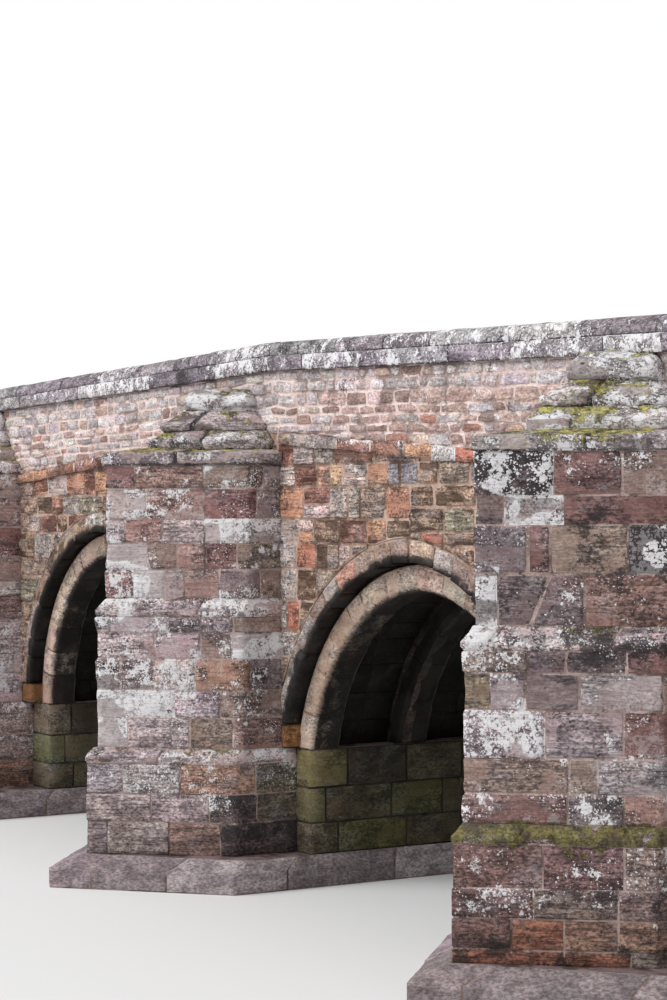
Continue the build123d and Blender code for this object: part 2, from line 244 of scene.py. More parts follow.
# %% Describe a face of the bridge as a sheet
class Sheet:
    def __init__(self, rows, out, s_start=0.0, t_start=0.0, hard_s=None):
        """rows are rows of corners from the foot up, and out is a direction that leaves the core."""
        self.grid = g = np.array(rows, float)
        along = np.linalg.norm(np.diff(g, axis=1), axis=2).mean(0)
        up = np.linalg.norm(np.diff(g, axis=0), axis=2).mean(1)
        self.s = s_start + np.concatenate([[0], np.cumsum(along)])
        self.t = t_start + np.concatenate([[0], np.cumsum(up)])
        self.hard_s = self.s[1:-1] if hard_s is None else np.array([self.s[i] for i in hard_s])
        self.hard_t = self.t[1:-1]
        a = g[:-1, 1:] - g[:-1, :-1] + g[1:, 1:] - g[1:, :-1]
        b = g[1:, :-1] - g[:-1, :-1] + g[1:, 1:] - g[:-1, 1:]
        n = np.cross(a, b)
        n /= np.maximum(np.linalg.norm(n, axis=2, keepdims=True), 1e-9)
        facing = n @ np.array(out, float)
        self.sign = 1.0 if facing.ravel()[np.argmax(abs(facing))] > 0 else -1.0
        self.mitre = self.mitres(n * self.sign, g)

    @staticmethod
    def mitres(normals, grid):
        """At each corner, the one lift that moves all the faces round it out by the same amount."""
        mitre = np.zeros_like(grid)
        for j, i in np.ndindex(grid.shape[:2]):
            near = normals[max(j - 1, 0) : j + 1, max(i - 1, 0) : i + 1].reshape(-1, 3)
            m = np.linalg.pinv(near, rcond=0.05) @ np.ones(len(near))
            mitre[j, i] = m / max(1.0, np.linalg.norm(m) / 1.8)
        return mitre

    def at(self, s, t, h):
        """The points that lie h metres out of the sheet, and the way out there."""
        i = np.clip(np.searchsorted(self.s, s, side="right") - 1, 0, len(self.s) - 2)
        j = np.clip(np.searchsorted(self.t, t, side="right") - 1, 0, len(self.t) - 2)
        u = ((s - self.s[i]) / (self.s[i + 1] - self.s[i]))[..., None]
        v = ((t - self.t[j]) / (self.t[j + 1] - self.t[j]))[..., None]

        def blend(grid):
            low = grid[j, i] * (1 - u) + grid[j, i + 1] * u
            high = grid[j + 1, i] * (1 - u) + grid[j + 1, i + 1] * u
            return low * (1 - v) + high * v

        out = blend(self.mitre)
        return blend(self.grid) + h[..., None] * out, out


def upright(columns, levels, out, **more):
    """A sheet that stands on a line of places (x, y)."""
    return Sheet([[(*column, z) for column in columns] for z in levels], out, **more)


print("a sheet of 2 by 1 m:", upright(((0, 0), (2, 0)), (0, 1), (0, -1, 0)).s, "metres along")

# %% [markdown]
# A dressed stone has a nearly flat face, edges that are worn round, and mortar between it and its
# neighbours. It could be a bevelled cube with a Displace modifier, but thousands of them would be
# heavy, and half of every cube would be hidden in the wall. So each stone is a patch of a sheet
# between four joints. Its sides may be straight, wavy, or follow another line such as the back of
# an arch, so they are given as numbers or as functions.

# %% Find the middle of a stone and the places across it
def line_of(side):
    return side if callable(side) else (lambda place: np.full_like(place, side))


def guess(*sides):
    """The mean of the sides that are plain numbers."""
    numbers = [side for side in sides if not callable(side)]
    return float(np.mean(numbers)) if numbers else 0.0


def middle_of(left, right, bottom, top, s, t):
    """The middle of a stone, from a first guess. Three rounds are enough for gentle curves."""
    s, t = np.array([s]), np.array([t])
    for _ in range(3):
        t = (bottom(s) + top(s)) / 2
        s = (left(t) + right(t)) / 2
    return s, t


def stations(a, b, gap, edge, k, hard):
    """Places across a stone, and the ring that each belongs to: 0 sunk, 1 mortar, 2 stone."""
    low, high = a + gap + edge, b - gap - edge
    inner = max(1, round((high - low) / k["step"]))
    places = list(np.linspace(low, high, inner + 1))
    for place in hard:
        if low + edge * 0.2 < place < high - edge * 0.2:
            closest = int(np.argmin([abs(place - q) for q in places]))
            if abs(places[closest] - place) < 0.3 * k["step"] and 0 < closest < len(places) - 1:
                places[closest] = place
            else:
                places = sorted([*places, place])
    start = [a, a + gap * 0.8, a + gap + edge * 0.25]
    end = [b - gap - edge * 0.25, b - gap * 0.8, b]
    ring = [1, 1, *[2] * (len(places) + 2), 1, 1]
    if k["simple"]:
        start, end, ring = [start[0], start[2]], [end[0], end[2]], ring[1:-1]
    if k["closed"]:
        start, end, ring = [a, *start], [*end, b], [0, *ring, 0]
    return np.array(start + places + end), np.array(ring)


SAMPLE = dict(step=0.1, simple=False, closed=False)
print("places across 0.4 m:", stations(0.0, 0.4, 0.005, 0.01, SAMPLE, ())[0].round(3))

# %% [markdown]
# Sandstone wears in three ways. Its soft beds go back and leave long hollows, thin flakes come off
# its face, and its outline frays until no edge is straight. Sculpting would give each stone its own
# wear, but not for thousands of them. So the wear is noise that is stretched along the bed, and how
# much there is of each comes from the kind of stone.

# %% Wear the face and the outline of a stone
def worn_face(rng, k, U, V, width, height):
    """Height of the face over the sheet, and its mark: 1 on a fresh flake, 0 in a deep hollow."""
    sink = (k["proud"] - k["flush"]) * rng.uniform(0, 1) ** k["even"]
    hump = (1 - 4 * (U - 0.5) ** 2) * (1 - 4 * (V - 0.5) ** 2)
    h = k["proud"] - sink + hump * k["swell"] * rng.uniform(-0.6, 1)
    h = h + rng.normal(0, k["tilt"]) * (U - 0.5) + rng.normal(0, k["tilt"]) * (V - 0.5)
    drift = rng.uniform(0, 50)

    def streaks(length, thickness, shift, seed):
        return noise(np.stack([U * width / length, V * height / thickness, U * 0 + shift], -1), 1.0, seed)

    beds = streaks(0.3, 0.06, drift, 77)
    flakes = smooth_step(0.08, 0.30, streaks(0.26, 0.13, -drift, 78))
    mark = 0.5 + 0.5 * flakes * min(1.0, k["flake"] / 0.006)
    mark = mark - 0.5 * smooth_step(0.0, 0.45, -beds) * min(1.0, k["bedded"] / 0.012)
    return h + k["bedded"] * beds - k["flake"] * flakes, mark


def worn_outline(rng, k, sides, U, V, T0, stone, corner):
    """The places s and t of a stone's corners, once its sides have frayed and its corners are off."""
    left, right, bottom, top = sides
    phases, speeds = rng.uniform(0, 6.28, 8), rng.uniform(0.6, 1.5, 8) / k["wave_length"]

    def inset(n, place):
        slow = np.sin(place * speeds[n] * 6 + phases[n])
        quick = np.sin(place * speeds[n + 4] * 17 + phases[n + 4])
        return stone * (k["wave"] * (0.5 + 0.32 * slow + 0.18 * quick))

    S = (left(T0) + inset(0, T0) + corner) * (1 - U) + (right(T0) - inset(1, T0) - corner) * U
    T = (bottom(S) + inset(2, S) + corner) * (1 - V) + (top(S) - inset(3, S) - corner) * V
    return S, T


flat = dict(proud=0.01, flush=0.01, even=1.0, swell=0.0, tilt=0.0, flake=0.0, bedded=0.0)
U, V = np.meshgrid((0.0, 0.5, 1.0), (0.0, 1.0))
print("face of a flat stone:", worn_face(np.random.default_rng(1), flat, U, V, 0.5, 0.3)[0].ravel())

# %% [markdown]
# All the stones of one piece of the core become one mesh, because a thousand objects would be
# slow to handle. Each corner of that mesh carries what the materials need to know: the stone's own
# tone, how near the joint is, a shift that moves the texture for each stone, and the weather.

# %% Lay single stones and join them into one piece
# What a kind of stone has if it doesn't say otherwise
PLAIN = dict(least=0.05, bedded=0.0, flake=0.0, lichen=0.0, crust=0.0, moss=0.0, damp=0.0,
             simple=False, closed=False)
CORNER_REACH = 0.03
ROOT_DEPTH = -0.02
FINISHES = []


def quad_mesh(name, points, faces, layers):
    """A smooth mesh of four-sided faces with a colour layer for each named set of values."""
    mesh = bpy.data.meshes.new(name)
    mesh.vertices.add(len(points))
    mesh.vertices.foreach_set("co", points.astype(np.float32).ravel())
    mesh.loops.add(faces.size)
    mesh.loops.foreach_set("vertex_index", faces.astype(np.int32).ravel())
    mesh.polygons.add(len(faces))
    mesh.polygons.foreach_set("loop_start", np.arange(0, faces.size, 4, dtype=np.int32))
    mesh.polygons.foreach_set("use_smooth", np.ones(len(faces), bool))
    mesh.update(calc_edges=True)
    for label, values in layers.items():
        layer = mesh.attributes.new(label, "FLOAT_COLOR", "POINT")
        layer.data.foreach_set("color", values.astype(np.float32).ravel())
    return mesh


class Masonry:
    """The stones of one piece of the core, gathered and then made into one mesh."""

    def __init__(self, name, seed):
        self.name, self.rng = name, np.random.default_rng(seed)
        self.parts = defaultdict(list)
        self.count = self.size = 0

    def stone(self, sheet, s0, s1, t0, t1, tone, kind, **change):
        """Lays one stone with half of the joint round it. kind is how such stones are dressed and worn."""
        rng, k = self.rng, {**PLAIN, **kind, **change}
        sides = left, right, bottom, top = [line_of(side) for side in (s0, s1, t0, t1)]
        mid_s, mid_t = middle_of(*sides, guess(s0, s1), guess(t0, t1))
        a, b = float(left(mid_t)[0]), float(right(mid_t)[0])
        c, d = float(bottom(mid_s)[0]), float(top(mid_s)[0])
        if b - a < k["least"] or d - c < 0.7 * k["least"]:
            return
        gap = min(k["joint"] / 2 * rng.uniform(0.6, 1.5), 0.15 * (b - a), 0.15 * (d - c))
        edge = min(k["edge"], 0.3 * (b - a), 0.3 * (d - c))
        us, ring_u = stations(a, b, gap, edge, k, sheet.hard_s)
        vs, ring_v = stations(c, d, gap, edge, k, sheet.hard_t)
        U, V = np.meshgrid((us - a) / (b - a), (vs - c) / (d - c))
        ring = np.minimum(*np.meshgrid(ring_u, ring_v))
        stone = np.where(ring >= 2, 1.0, 0.0)
        from_end = np.minimum(U, 1 - U) * (b - a) - gap
        from_bed = np.minimum(V, 1 - V) * (d - c) - gap
        inside = np.clip(np.minimum(from_end, from_bed), 0, None)
        rise = np.clip(inside / edge, 0, 1)
        h, mark = worn_face(rng, k, U, V, b - a, d - c)
        rounded = 1 - np.sqrt(np.clip(1 - (1 - rise) ** 2, 0, 1))
        h = np.maximum(h, k["flush"] * 0.6) - (np.clip(h - k["mortar"], 0, None) + 0.002) * rounded
        h = np.where(ring >= 2, h, np.where(ring == 0, ROOT_DEPTH, k["mortar"]))
        corner = stone * k["corner"]
        for distance in (from_end, from_bed):
            corner = corner * np.clip(1 - distance / CORNER_REACH, 0, 1)
        S, T = worn_outline(rng, k, sides, U, V, c + V * (d - c), stone, corner)
        points, outs = sheet.at(S, T, h)
        mortar = np.where(ring >= 2, 0.5 - 0.5 * np.clip(inside / 0.05, 0, 1), 1.0)
        inner = np.where(ring >= 2, np.clip(0.25 + rise, 0, 1), 0.0)
        self.gather(sheet.sign, points, outs, h, inner, tone, mortar, mark, k)

    def gather(self, sign, points, outs, h, inner, tone, mortar, mark, k):
        """Notes a stone's corners, faces, tone and weather. The last ones are a little different for each."""
        rng, n = self.rng, h.size
        index = self.size + np.arange(n).reshape(h.shape)
        faces = np.stack([index[:-1, :-1], index[:-1, 1:], index[1:, 1:], index[1:, :-1]], -1).reshape(-1, 4)
        shade = 1 + rng.normal(0, 0.07)
        colour = np.clip(np.array(tone, float) * shade * (1 + rng.normal(0, 0.02, 3)), 0.005, 0.95)
        place = rng.uniform(-20, 20, 3)
        rough = k["rough"] * rng.uniform(0.5, 1.5)
        weather = [k["lichen"] + rng.normal(0, 0.13), k["crust"] + rng.normal(0, 0.15), k["moss"], k["damp"]]
        for label, values in dict(
            points=points.reshape(-1, 3), outs=outs.reshape(-1, 3), lifts=h.ravel(),
            faces=faces if sign > 0 else faces[:, ::-1], rough=rough * inner.ravel(),
            weather=np.tile(weather, (n, 1)),
            tones=np.column_stack([np.tile(colour, (n, 1)), mortar.ravel()]),
            places=np.column_stack([np.tile(place, (n, 1)), mark.ravel()]),
        ).items():
            self.parts[label].append(values)
        self.size += n
        self.count += 1

    def build(self, weather, finish):
        """Joins the stones into one piece that rides on the bridge, and notes which finish it takes."""
        all_of = {label: np.concatenate(values) for label, values in self.parts.items()}
        points, outs, lifts = all_of["points"], all_of["outs"], all_of["lifts"]
        outs = outs / np.maximum(np.linalg.norm(outs, axis=1, keepdims=True), 1e-9)
        stir = rough_noise(points + all_of["places"][:, :3], 0.22, 5, 4) * 0.8 + 0.25
        swell = all_of["rough"] * stir + 0.0015 * noise(points, 0.08, 11)
        swell = np.where(lifts > 0, np.maximum(swell, 0.002 - lifts), 0.0)
        points = points + outs * swell[:, None]
        weathered = np.clip(weather(points, outs) + all_of["weather"], 0, 1)
        mesh = quad_mesh(self.name, points, all_of["faces"],
                         dict(stone_tone=all_of["tones"], weather=weathered, stone_place=all_of["places"]))
        piece = bpy.data.objects.new(self.name, mesh)
        bpy.context.scene.collection.objects.link(piece)
        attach(piece, "root")
        FINISHES.append((piece, finish))
        print(f"{self.name}: {self.count} stones, {2 * len(all_of['faces'])} triangles")


# %% [markdown]
# Masons cut the upright joints of a course so that they miss the joints below and the corners of
# the wall. A brick texture would repeat the same offset in every course. Here several random sets
# of joints are tried instead, and the one that breaks bond best is kept.

# %% Set out the joints of a course
def pairs(values):
    """Each value with the next one."""
    return zip(values[:-1], values[1:])


def set_out(rng, start, end, mean, spread=0.35, corners=(), below=()):
    """Joints about `mean` apart that keep off the corners and off the joints of the course below."""
    best, best_fault = None, None
    for _ in range(16):
        count = max(1, int(round((end - start) / mean + rng.uniform(-0.45, 0.45))))
        widths = 1 + spread * rng.uniform(-1, 1, count)
        edges = start + (end - start) * np.concatenate([[0], np.cumsum(widths) / widths.sum()])
        inner = edges[1:-1]
        fault = sum(max(0.0, 0.15 - abs(e - c)) * 3 for c in corners for e in inner)
        fault += sum(max(0.0, 0.3 * mean - abs(e - c)) for c in below for e in inner)
        if best is None or fault < best_fault:
            best, best_fault = edges, fault
    return best


def courses(rng, low, high, mean, spread=0.2):
    """Levels of courses about `mean` high."""
    count = max(1, int(round((high - low) / mean)))
    heights = 1 + spread * rng.uniform(-1, 1, count)
    return low + (high - low) * np.concatenate([[0], np.cumsum(heights) / heights.sum()])


print("joints in 3 m:", set_out(np.random.default_rng(1), 0.0, 3.0, 0.5).round(2))

# %% [markdown]
# A wall is laid course by course, and the lowest course first. Stones that matter to the look can
# be chosen one by one, and the rest come by chance. Both could be placed by hand, but that takes a
# list for every wall. So one function lays a whole sheet and takes a list only where there is one.

# %% Lay courses and strips of stones
COURSE_STARTS = (0.42, 0.20)


def crack(s0, s1, t0, t1):
    """A slanted joint through the middle of a stone."""
    return lambda t: s0 + (s1 - s0) * (0.38 + 0.24 * (t - t0) / (t1 - t0))


def listed(row):
    """Turns a row such as "2.14p 2.70k" into places and looks."""
    return [(float(word[:4]), word[4:]) for word in row.split()]


def lay_courses(work, sheet, levels, mean, tones, kind, drawn=(), nose=0.0, shade=1.0, **change):
    """Covers a sheet with level courses, or with one course if levels is None. drawn lists chosen
    stones of each course, from near the nose on: where each ends, and a letter for its look. A
    stroke after the letter is a stone that has cracked along a slanted joint."""
    levels = sheet.t[[0, -1]] if levels is None else levels
    below = ()
    for course, (t0, t1) in enumerate(pairs(levels)):
        row = listed(drawn[course]) if course < len(drawn) else []
        start = nose - COURSE_STARTS[course % 2] if row else sheet.s[-1]
        edges = list(set_out(work.rng, sheet.s[0], start, mean, corners=sheet.hard_s, below=below))
        looks = [None] * (len(edges) - 1)
        for end, letter in row:
            edges.append(min(end, sheet.s[-1]))
            looks.append(letter)
        if edges[-1] < sheet.s[-1] - 0.05:
            edges.append(sheet.s[-1])
            looks.append(None)
        for (s0, s1), letter in zip(pairs(edges), looks):
            tone, own = PIER_LOOKS[letter[0]] if letter else (pick(work.rng, tones), {})
            joints = [s0, crack(s0, s1, t0, t1), s1] if letter and letter[1:] == "/" else [s0, s1]
            for left, right in pairs(joints):
                work.stone(sheet, left, right, t0, t1, tone * shade, kind, **{**change, **own})
        below = edges[1:-1]


def by_chance(rng, tones, shade=1.0):
    """Looks without end, whose tones come by chance."""
    while True:
        yield pick(rng, tones) * shade, {}


def lay_strip(work, sheet, edges, looks, kind):
    """Cuts a sheet into stones that span its whole height. A look is a tone and what it changes."""
    for (s0, s1), (tone, own) in zip(pairs(edges), looks):
        work.stone(sheet, s0, s1, sheet.t[0], sheet.t[-1], tone, kind, **own)


print("two chosen stones:", listed("2.14p 2.70k"))

# %% [markdown]
# The bridge is red and brown sandstone that has weathered to maroon, orange, grey and buff, with
# pale pinkish lime mortar. One noise over the whole wall could mix these colours, but on the real
# wall each stone came from its own bed of the quarry and has its own tone. So every stone gets one
# tone, by chance or by letter, and the materials add what varies inside it. Colours are written as
# a painter would note them, in 0 to 255, and the first number of each is how often it is used.

# %% Mix the stones' colours
def tone_of(red, green, blue):
    """A painter's colour as the amounts of light that Blender works with."""
    c = np.array([red, green, blue], float) / 255
    return np.where(c <= 0.04045, c / 12.92, ((c + 0.055) / 1.055) ** 2.4)


def pick(rng, tones):
    weights = np.array([t[0] for t in tones], float)
    chosen = tones[rng.choice(len(tones), p=weights / weights.sum())]
    return tone_of(*chosen[1:])


PIER_LOW = [(3, 156, 140, 136), (2, 146, 128, 124), (2, 166, 150, 146), (1, 136, 112, 108),
            (1, 162, 134, 118)]
PIER_MIDDLE = [(3, 176, 163, 165), (2, 184, 173, 176), (2, 162, 147, 148), (1, 148, 128, 127)]
PIER_UPPER = [(3, 164, 146, 144), (2, 156, 134, 130), (2, 176, 162, 160), (1, 146, 120, 116),
              (1, 136, 106, 104)]
RIGHT_UPPER = [(3, 132, 114, 114), (2, 118, 104, 108), (2, 148, 134, 132), (1, 130, 98, 96)]
PARAPET = [(3, 194, 168, 160), (3, 182, 155, 147), (2, 206, 188, 184), (2, 160, 136, 128),
           (1, 176, 167, 165), (1, 174, 132, 118)]
PARAPET_TOP = [(3, 208, 198, 199), (2, 194, 184, 185), (2, 216, 207, 206), (1, 196, 178, 172)]
COPING = [(3, 138, 130, 137), (2, 124, 117, 124), (2, 156, 151, 155)]
RING = [(3, 182, 166, 152), (2, 172, 155, 142), (1, 192, 178, 166), (1, 156, 140, 127)]
JAMB = [(3, 116, 108, 94), (2, 108, 108, 82), (2, 90, 80, 74), (1, 126, 120, 88)]
# The vault's tones are dark as painted shade under the arches
SHADED_VAULT = [(3, 66, 62, 52), (2, 56, 52, 44), (1, 78, 70, 60)]
FOOTING = [(3, 174, 162, 168), (2, 166, 154, 160), (1, 180, 171, 177)]
CAP = [(3, 164, 155, 156), (2, 146, 137, 139), (2, 178, 170, 169)]
print("a middle tone of the piers:", [round(float(v), 3) for v in tone_of(*PIER_MIDDLE[0][1:])])

# %% [markdown]
# The piers are smooth ashlar, the wall over the arches is deeply eroded, the parapet is small
# rubble, and the coping is moulded. Each could have a maker of its own, but they differ only in
# sizes, so each kind is a set of numbers that the one maker of stones takes.

# %% Describe how each kind of stone is dressed and worn
# joint, edge, wave and corner shape the outline; mortar, proud, flush and even set how far the
# joint and the faces stand out; rough, swell and tilt shape the face. All are in metres.
ASHLAR = dict(joint=0.007, edge=0.009, wave=0.003, wave_length=0.2, corner=0.003, mortar=0.004,
              proud=0.012, flush=0.004, even=1.5, rough=0.004, swell=0.002, tilt=0.003, step=0.10)
WORN_ASHLAR = dict(ASHLAR, edge=0.014, wave=0.006, corner=0.007, mortar=0.006, proud=0.022, even=1.0,
                   rough=0.008, swell=0.004, tilt=0.005, flake=0.007)
ERODED = dict(WORN_ASHLAR, joint=0.009, edge=0.02, wave=0.008, corner=0.010, mortar=0.012, proud=0.036,
              rough=0.012)
RUBBLE = dict(ASHLAR, joint=0.012, edge=0.013, wave=0.007, wave_length=0.07, corner=0.014, mortar=0.006,
              proud=0.022, flush=0.010, even=1.0, rough=0.010, swell=0.006, tilt=0.004, step=0.07,
              least=0.03, simple=True)
SLAB = dict(WORN_ASHLAR, joint=0.010, edge=0.012, wave=0.010, wave_length=0.16, corner=0.010,
            mortar=0.010, proud=0.030, flush=0.016, rough=0.012, swell=0.0, tilt=0.010, bedded=0.008,
            flake=0.004, closed=True)
MOULDED = dict(ASHLAR, joint=0.006, edge=0.010, wave=0.005, mortar=0.003, proud=0.010, rough=0.006,
               swell=0.0, tilt=0.002, step=0.12, closed=True)
# Where a face is as flat as saw-cut stone, such as an end that another wall once hid
PLAIN_FACE = dict(mortar=0.002, proud=0.006, flush=0.004, rough=0.002, swell=0.0, tilt=0.0)
for label, kind in dict(ashlar=ASHLAR, eroded=ERODED, rubble=RUBBLE, slab=SLAB).items():
    print(label, "stands out", kind["proud"], "with joints of", kind["joint"])

# %% [markdown]
# Weather marks follow the place more than the stone. Lichen likes faces that see the sky, moss
# sits on ledges, a black crust forms in patches, and damp creeps up from the water. Painted shade
# goes into the same masks: the stones darken towards the inside of the arches, on what faces into
# an arch, and in a band under the caps and the middle ledge. A shader could find these places from
# heights and normals each time that it is used, but rules for one pier would then sit in every
# material. So four masks are worked out here and stored on the stones: lichen, crust, moss and damp.

# %% Paint the masks of the weather
def stirred(points, start, large, small, seed):
    """A value with large and small lumps on it. large and small are pairs of strength and size."""
    (strong, wide), (weak, narrow) = large, small
    return start + strong * noise(points, wide, seed) + weak * noise(points, narrow, seed + 1)


def weather_of(lichen=0.15, crust=0.1, moss=0.0, damp=0.0, ledge_moss=0.4, sky_lichen=0.3, deep=0.0,
               shade_under_lips=False, soffit=0.0, low_ledge_moss=0.0):
    """The three arguments after sky_lichen paint shade, in order: how dark the stones go towards the
    inside of the arches, a band of black crust under the caps and under the middle ledge, and black
    crust and damp on what faces into an arch."""
    def paint(points, out):
        y, z, up = abs(points[:, 1]), points[:, 2], np.clip(out[:, 2], 0, 1)
        # painted shade: darker towards the inside of the arches, and black on what faces into an arch
        inside = smooth_step(RIB_FACE + 0.02, RIB_FACE - 0.45, y) * (deep > 0)
        painted_shade = soffit * smooth_step(0.85, 0.35, abs(out[:, 1])) * (y > RIB_FACE - 0.35)
        low = smooth_step(0.9, 0.3, z + 0.12 * noise(points, 0.5, 61))
        patch = stirred(points, 0.0, (1.0, 0.55), (0.6, 0.18), 51)
        masks = np.zeros((len(points), 4))
        masks[:, 0] = stirred(points, lichen, (0.34, 0.8), (0.20, 0.25), 31) + sky_lichen * up
        masks[:, 0] -= 0.5 * low + inside + painted_shade
        masks[:, 1] = stirred(points, crust, (0.30, 0.7), (0.18, 0.2), 41) + painted_shade
        # painted shade: a band of black crust under the caps and under the middle ledge
        if shade_under_lips:
            below_lip = z + 0.10 * noise(points, 0.2, 43)
            masks[:, 1] += 0.25 * smooth_step(CAP_FOOT - 0.25, CAP_FOOT - 0.02, below_lip)
            masks[:, 1] += 0.25 * smooth_step(0.12, 0.02, np.abs(z - MIDDLE_LIP + 0.09))
        masks[:, 2] = moss + ledge_moss * up + 0.28 * patch * (up + moss > 0.02) - 0.5 * inside
        if low_ledge_moss:
            ragged = z + 0.10 * noise(points, 0.2, 53)
            hanging = smooth_step(PLINTH_LIP - 0.16, PLINTH_LIP - 0.03, ragged) * (z < SPRINGING + 0.03)
            masks[:, 2] += (low_ledge_moss + 0.35 * patch * (low_ledge_moss > 0.2)) * hanging
        # the damp mask holds real damp near the water, and painted shade inside the arches and on soffits
        masks[:, 3] = damp + 0.6 * low + 0.12 * noise(points, 0.6, 62) + deep * inside + painted_shade
        return masks

    return paint


sample = weather_of()(np.array([[0.0, -WALL, 2.0]]), np.array([[0.0, 0.0, 1.0]]))
print("lichen, crust, moss and damp of one ledge:", sample[0].round(2))

# %% [markdown]
# A cutwater is the pointed end of a pier that parts the water. It rises in three stages with a
# sloping ledge over the lower two. It could be sculpted as one block, but its courses run round
# the nose without a break. So the outline at every level is read from the core, and each stage is
# a sheet with five columns: wall, shoulder, nose, shoulder, wall. On the two piers near the camera
# the stones that can be told apart are listed one by one, and all the others are laid by chance.

# %% List the chosen stones of the cutwaters
# Looks of the pier stones that are chosen one by one: a tone and what grows on it.
# r red, m maroon, g grey, p pink, b brown, k black with crust, w white with lichen,
# o orange, u purple, y and j greened by moss, W almost hidden by lichen, f fresh red where the
# water rubs it, c like u but in wide joints.
PIER_LOOKS = {
    "r": (tone_of(150, 124, 119), {}),
    "m": (tone_of(128, 102, 101), dict(lichen=-0.05)),
    "g": (tone_of(162, 154, 156), dict(lichen=0.05)),
    "p": (tone_of(176, 161, 163), dict(lichen=0.12)),
    "b": (tone_of(144, 129, 122), {}),
    "k": (tone_of(112, 100, 102), dict(crust=0.34, lichen=0.24)),
    "W": (tone_of(150, 138, 140), dict(lichen=0.66, crust=0.20, flake=0.003)),
    "f": (tone_of(168, 118, 100), dict(lichen=-0.4, crust=0.0)),
    "c": (tone_of(132, 121, 125), dict(joint=0.024, crust=0.05)),
    "w": (tone_of(166, 157, 160), dict(lichen=0.42)),
    "o": (tone_of(160, 132, 117), dict(lichen=-0.1)),
    "u": (tone_of(132, 121, 125), dict(crust=0.05)),
    "y": (tone_of(134, 124, 108), dict(moss=0.25)),
    "j": (tone_of(118, 112, 98), dict(moss=0.2, damp=0.2)),
}
# The levels of the joints between the courses of a stage
BEDS = {
    ("middle_pier", "plinth"): (0.56, 0.81),
    ("middle_pier", "middle"): (1.48, 1.72, 2.00, 2.23),
    ("middle_pier", "upper"): (2.79, 3.03, 3.24, 3.51),
    ("right_pier", "plinth"): (0.37, 0.58, 0.78),
    ("right_pier", "middle"): (1.41, 1.65, 1.97, 2.22),
    ("right_pier", "upper"): (2.89, 3.22, 3.42),
}
# Stones of each course from the foot of a stage: where each ends, in metres round the cutwater,
# and its look
DRAWN = {
    ("middle_pier", "plinth"): (
        "2.14p 2.70p 3.16r 4.00k",
        "2.54p 3.06p 3.51k 4.00j",
        "2.28g 2.80g 3.50o 4.00j",
    ),
    ("middle_pier", "middle"): (
        "2.00w 2.57p 2.96b 3.63r",
        "1.98w 2.43w 2.84p 3.63b",
        "1.94k 2.25k 2.62p 3.12o 3.63k",
        "2.25p 2.67p 2.95b 3.63w",
        "1.85g 2.38w 2.96u 3.63b",
    ),
    ("middle_pier", "upper"): (
        "1.86r 2.15w 2.32g 2.64r 3.02u 3.45b",
        "1.98w 2.26b 2.52r 2.80m 3.45b",
        "1.79g 2.12r 2.51p 2.78w 3.45g",
        "1.98w 2.50r 2.99m 3.45u",
        "1.88m 2.50r 3.05b 3.45g",
    ),
    ("right_pier", "plinth"): (
        "2.70f 3.14f",
        "2.35m 2.70f 3.06o 3.44o",
        "2.50m 3.06b 3.44b",
        "2.56m 3.10m 3.44b",
    ),
    ("right_pier", "middle"): (
        "2.42m 2.79u 3.21r",
        "2.43b 2.62b 3.21g",
        "2.27W 2.79g 3.21m",
        "1.90y 2.14w 2.50u 3.05g 3.21b",
        "2.16b 2.41u 2.81k 3.21m",
    ),
    ("right_pier", "upper"): (
        "1.76W 2.35c/ 3.07r",
        "1.97u 2.12m 2.64b 3.07k",
        "1.81u 2.21W 3.07m",
        "2.14k 2.60m 3.07b",
    ),
}
NOSE_AT = {"plinth": 1.958, "middle": 1.730, "upper": 1.620}
print("chosen stones:", sum(len(listed(row)) for rows in DRAWN.values() for row in rows))

# %% [markdown]
# The stages differ in height and tone, and the ledges between them are long stones that wrap over
# the lip. Each cutwater could be a copy of one of them, but all six would then wear the same way,
# so each is laid anew with a seed of its own.

# %% Lay the cutwaters
LIP_WRAP = 0.045
SETBACK = WALL - RIB_FACE
# Each stage: its foot, its top, how far its ends lie behind the wall's face, its tones and its kind
STAGES = (
    ("plinth", FOOTING_TOP, PLINTH_LIP, SETBACK, PIER_LOW, ASHLAR),
    ("middle", SPRINGING, MIDDLE_LIP, 0.0, PIER_MIDDLE, WORN_ASHLAR),
    ("upper", UPPER_FOOT, CAP_FOOT, 0.0, PIER_UPPER, WORN_ASHLAR),
)
RIGHT_PIER_SHADE = {"plinth": 0.90, "middle": 0.95, "upper": 0.87}


def cutwater_sheet(node, pier_x, side, levels, behind):
    """levels pairs the height at which the outline is read with the height of the row."""
    rows = [
        nose_row(pier_x, core_outline(node, read_at, pier_x, side), WALL - behind, side, height)
        for read_at, height in levels
    ]
    return Sheet(rows, (0, side, 0.2), t_start=levels[0][1])


def step_for(side, pier):
    """Small steps where the camera is near, and long ones elsewhere."""
    return 0.045 if side < 0 and pier in ("middle_pier", "right_pier") else 0.12


def lay_cutwater(work, node, pier, side):
    pier_x, step = PIER_AXES[pier], step_for(side, pier)
    for stage, low, high, behind, tones, kind in STAGES:
        sheet = cutwater_sheet(node, pier_x, side, ((low, low), (high, high)), behind)
        end = high - (LIP_WRAP if stage != "upper" else 0.0)
        chosen = side < 0 and (pier, stage) in BEDS
        levels = [low, *BEDS[pier, stage], end] if chosen else courses(work.rng, low, end, 0.27)
        if pier == "right_pier" and stage == "upper":
            tones = RIGHT_UPPER
        shade = RIGHT_PIER_SHADE[stage] if pier == "right_pier" else 1.0
        lay_courses(work, sheet, levels, 0.52, tones, dict(kind, step=step),
                    DRAWN[pier, stage] if chosen else (), NOSE_AT[stage], shade)
    for lip, ledge_top, behind in ((PLINTH_LIP, SPRINGING, SETBACK), (MIDDLE_LIP, UPPER_FOOT, 0.0)):
        levels = ((lip, lip - LIP_WRAP), (lip, lip), (ledge_top, ledge_top))
        lay_courses(work, cutwater_sheet(node, pier_x, side, levels, behind), None, 0.62, PIER_MIDDLE,
                    dict(SLAB, step=step, proud=0.022, mortar=0.012), moss=0.2, lichen=0.1)
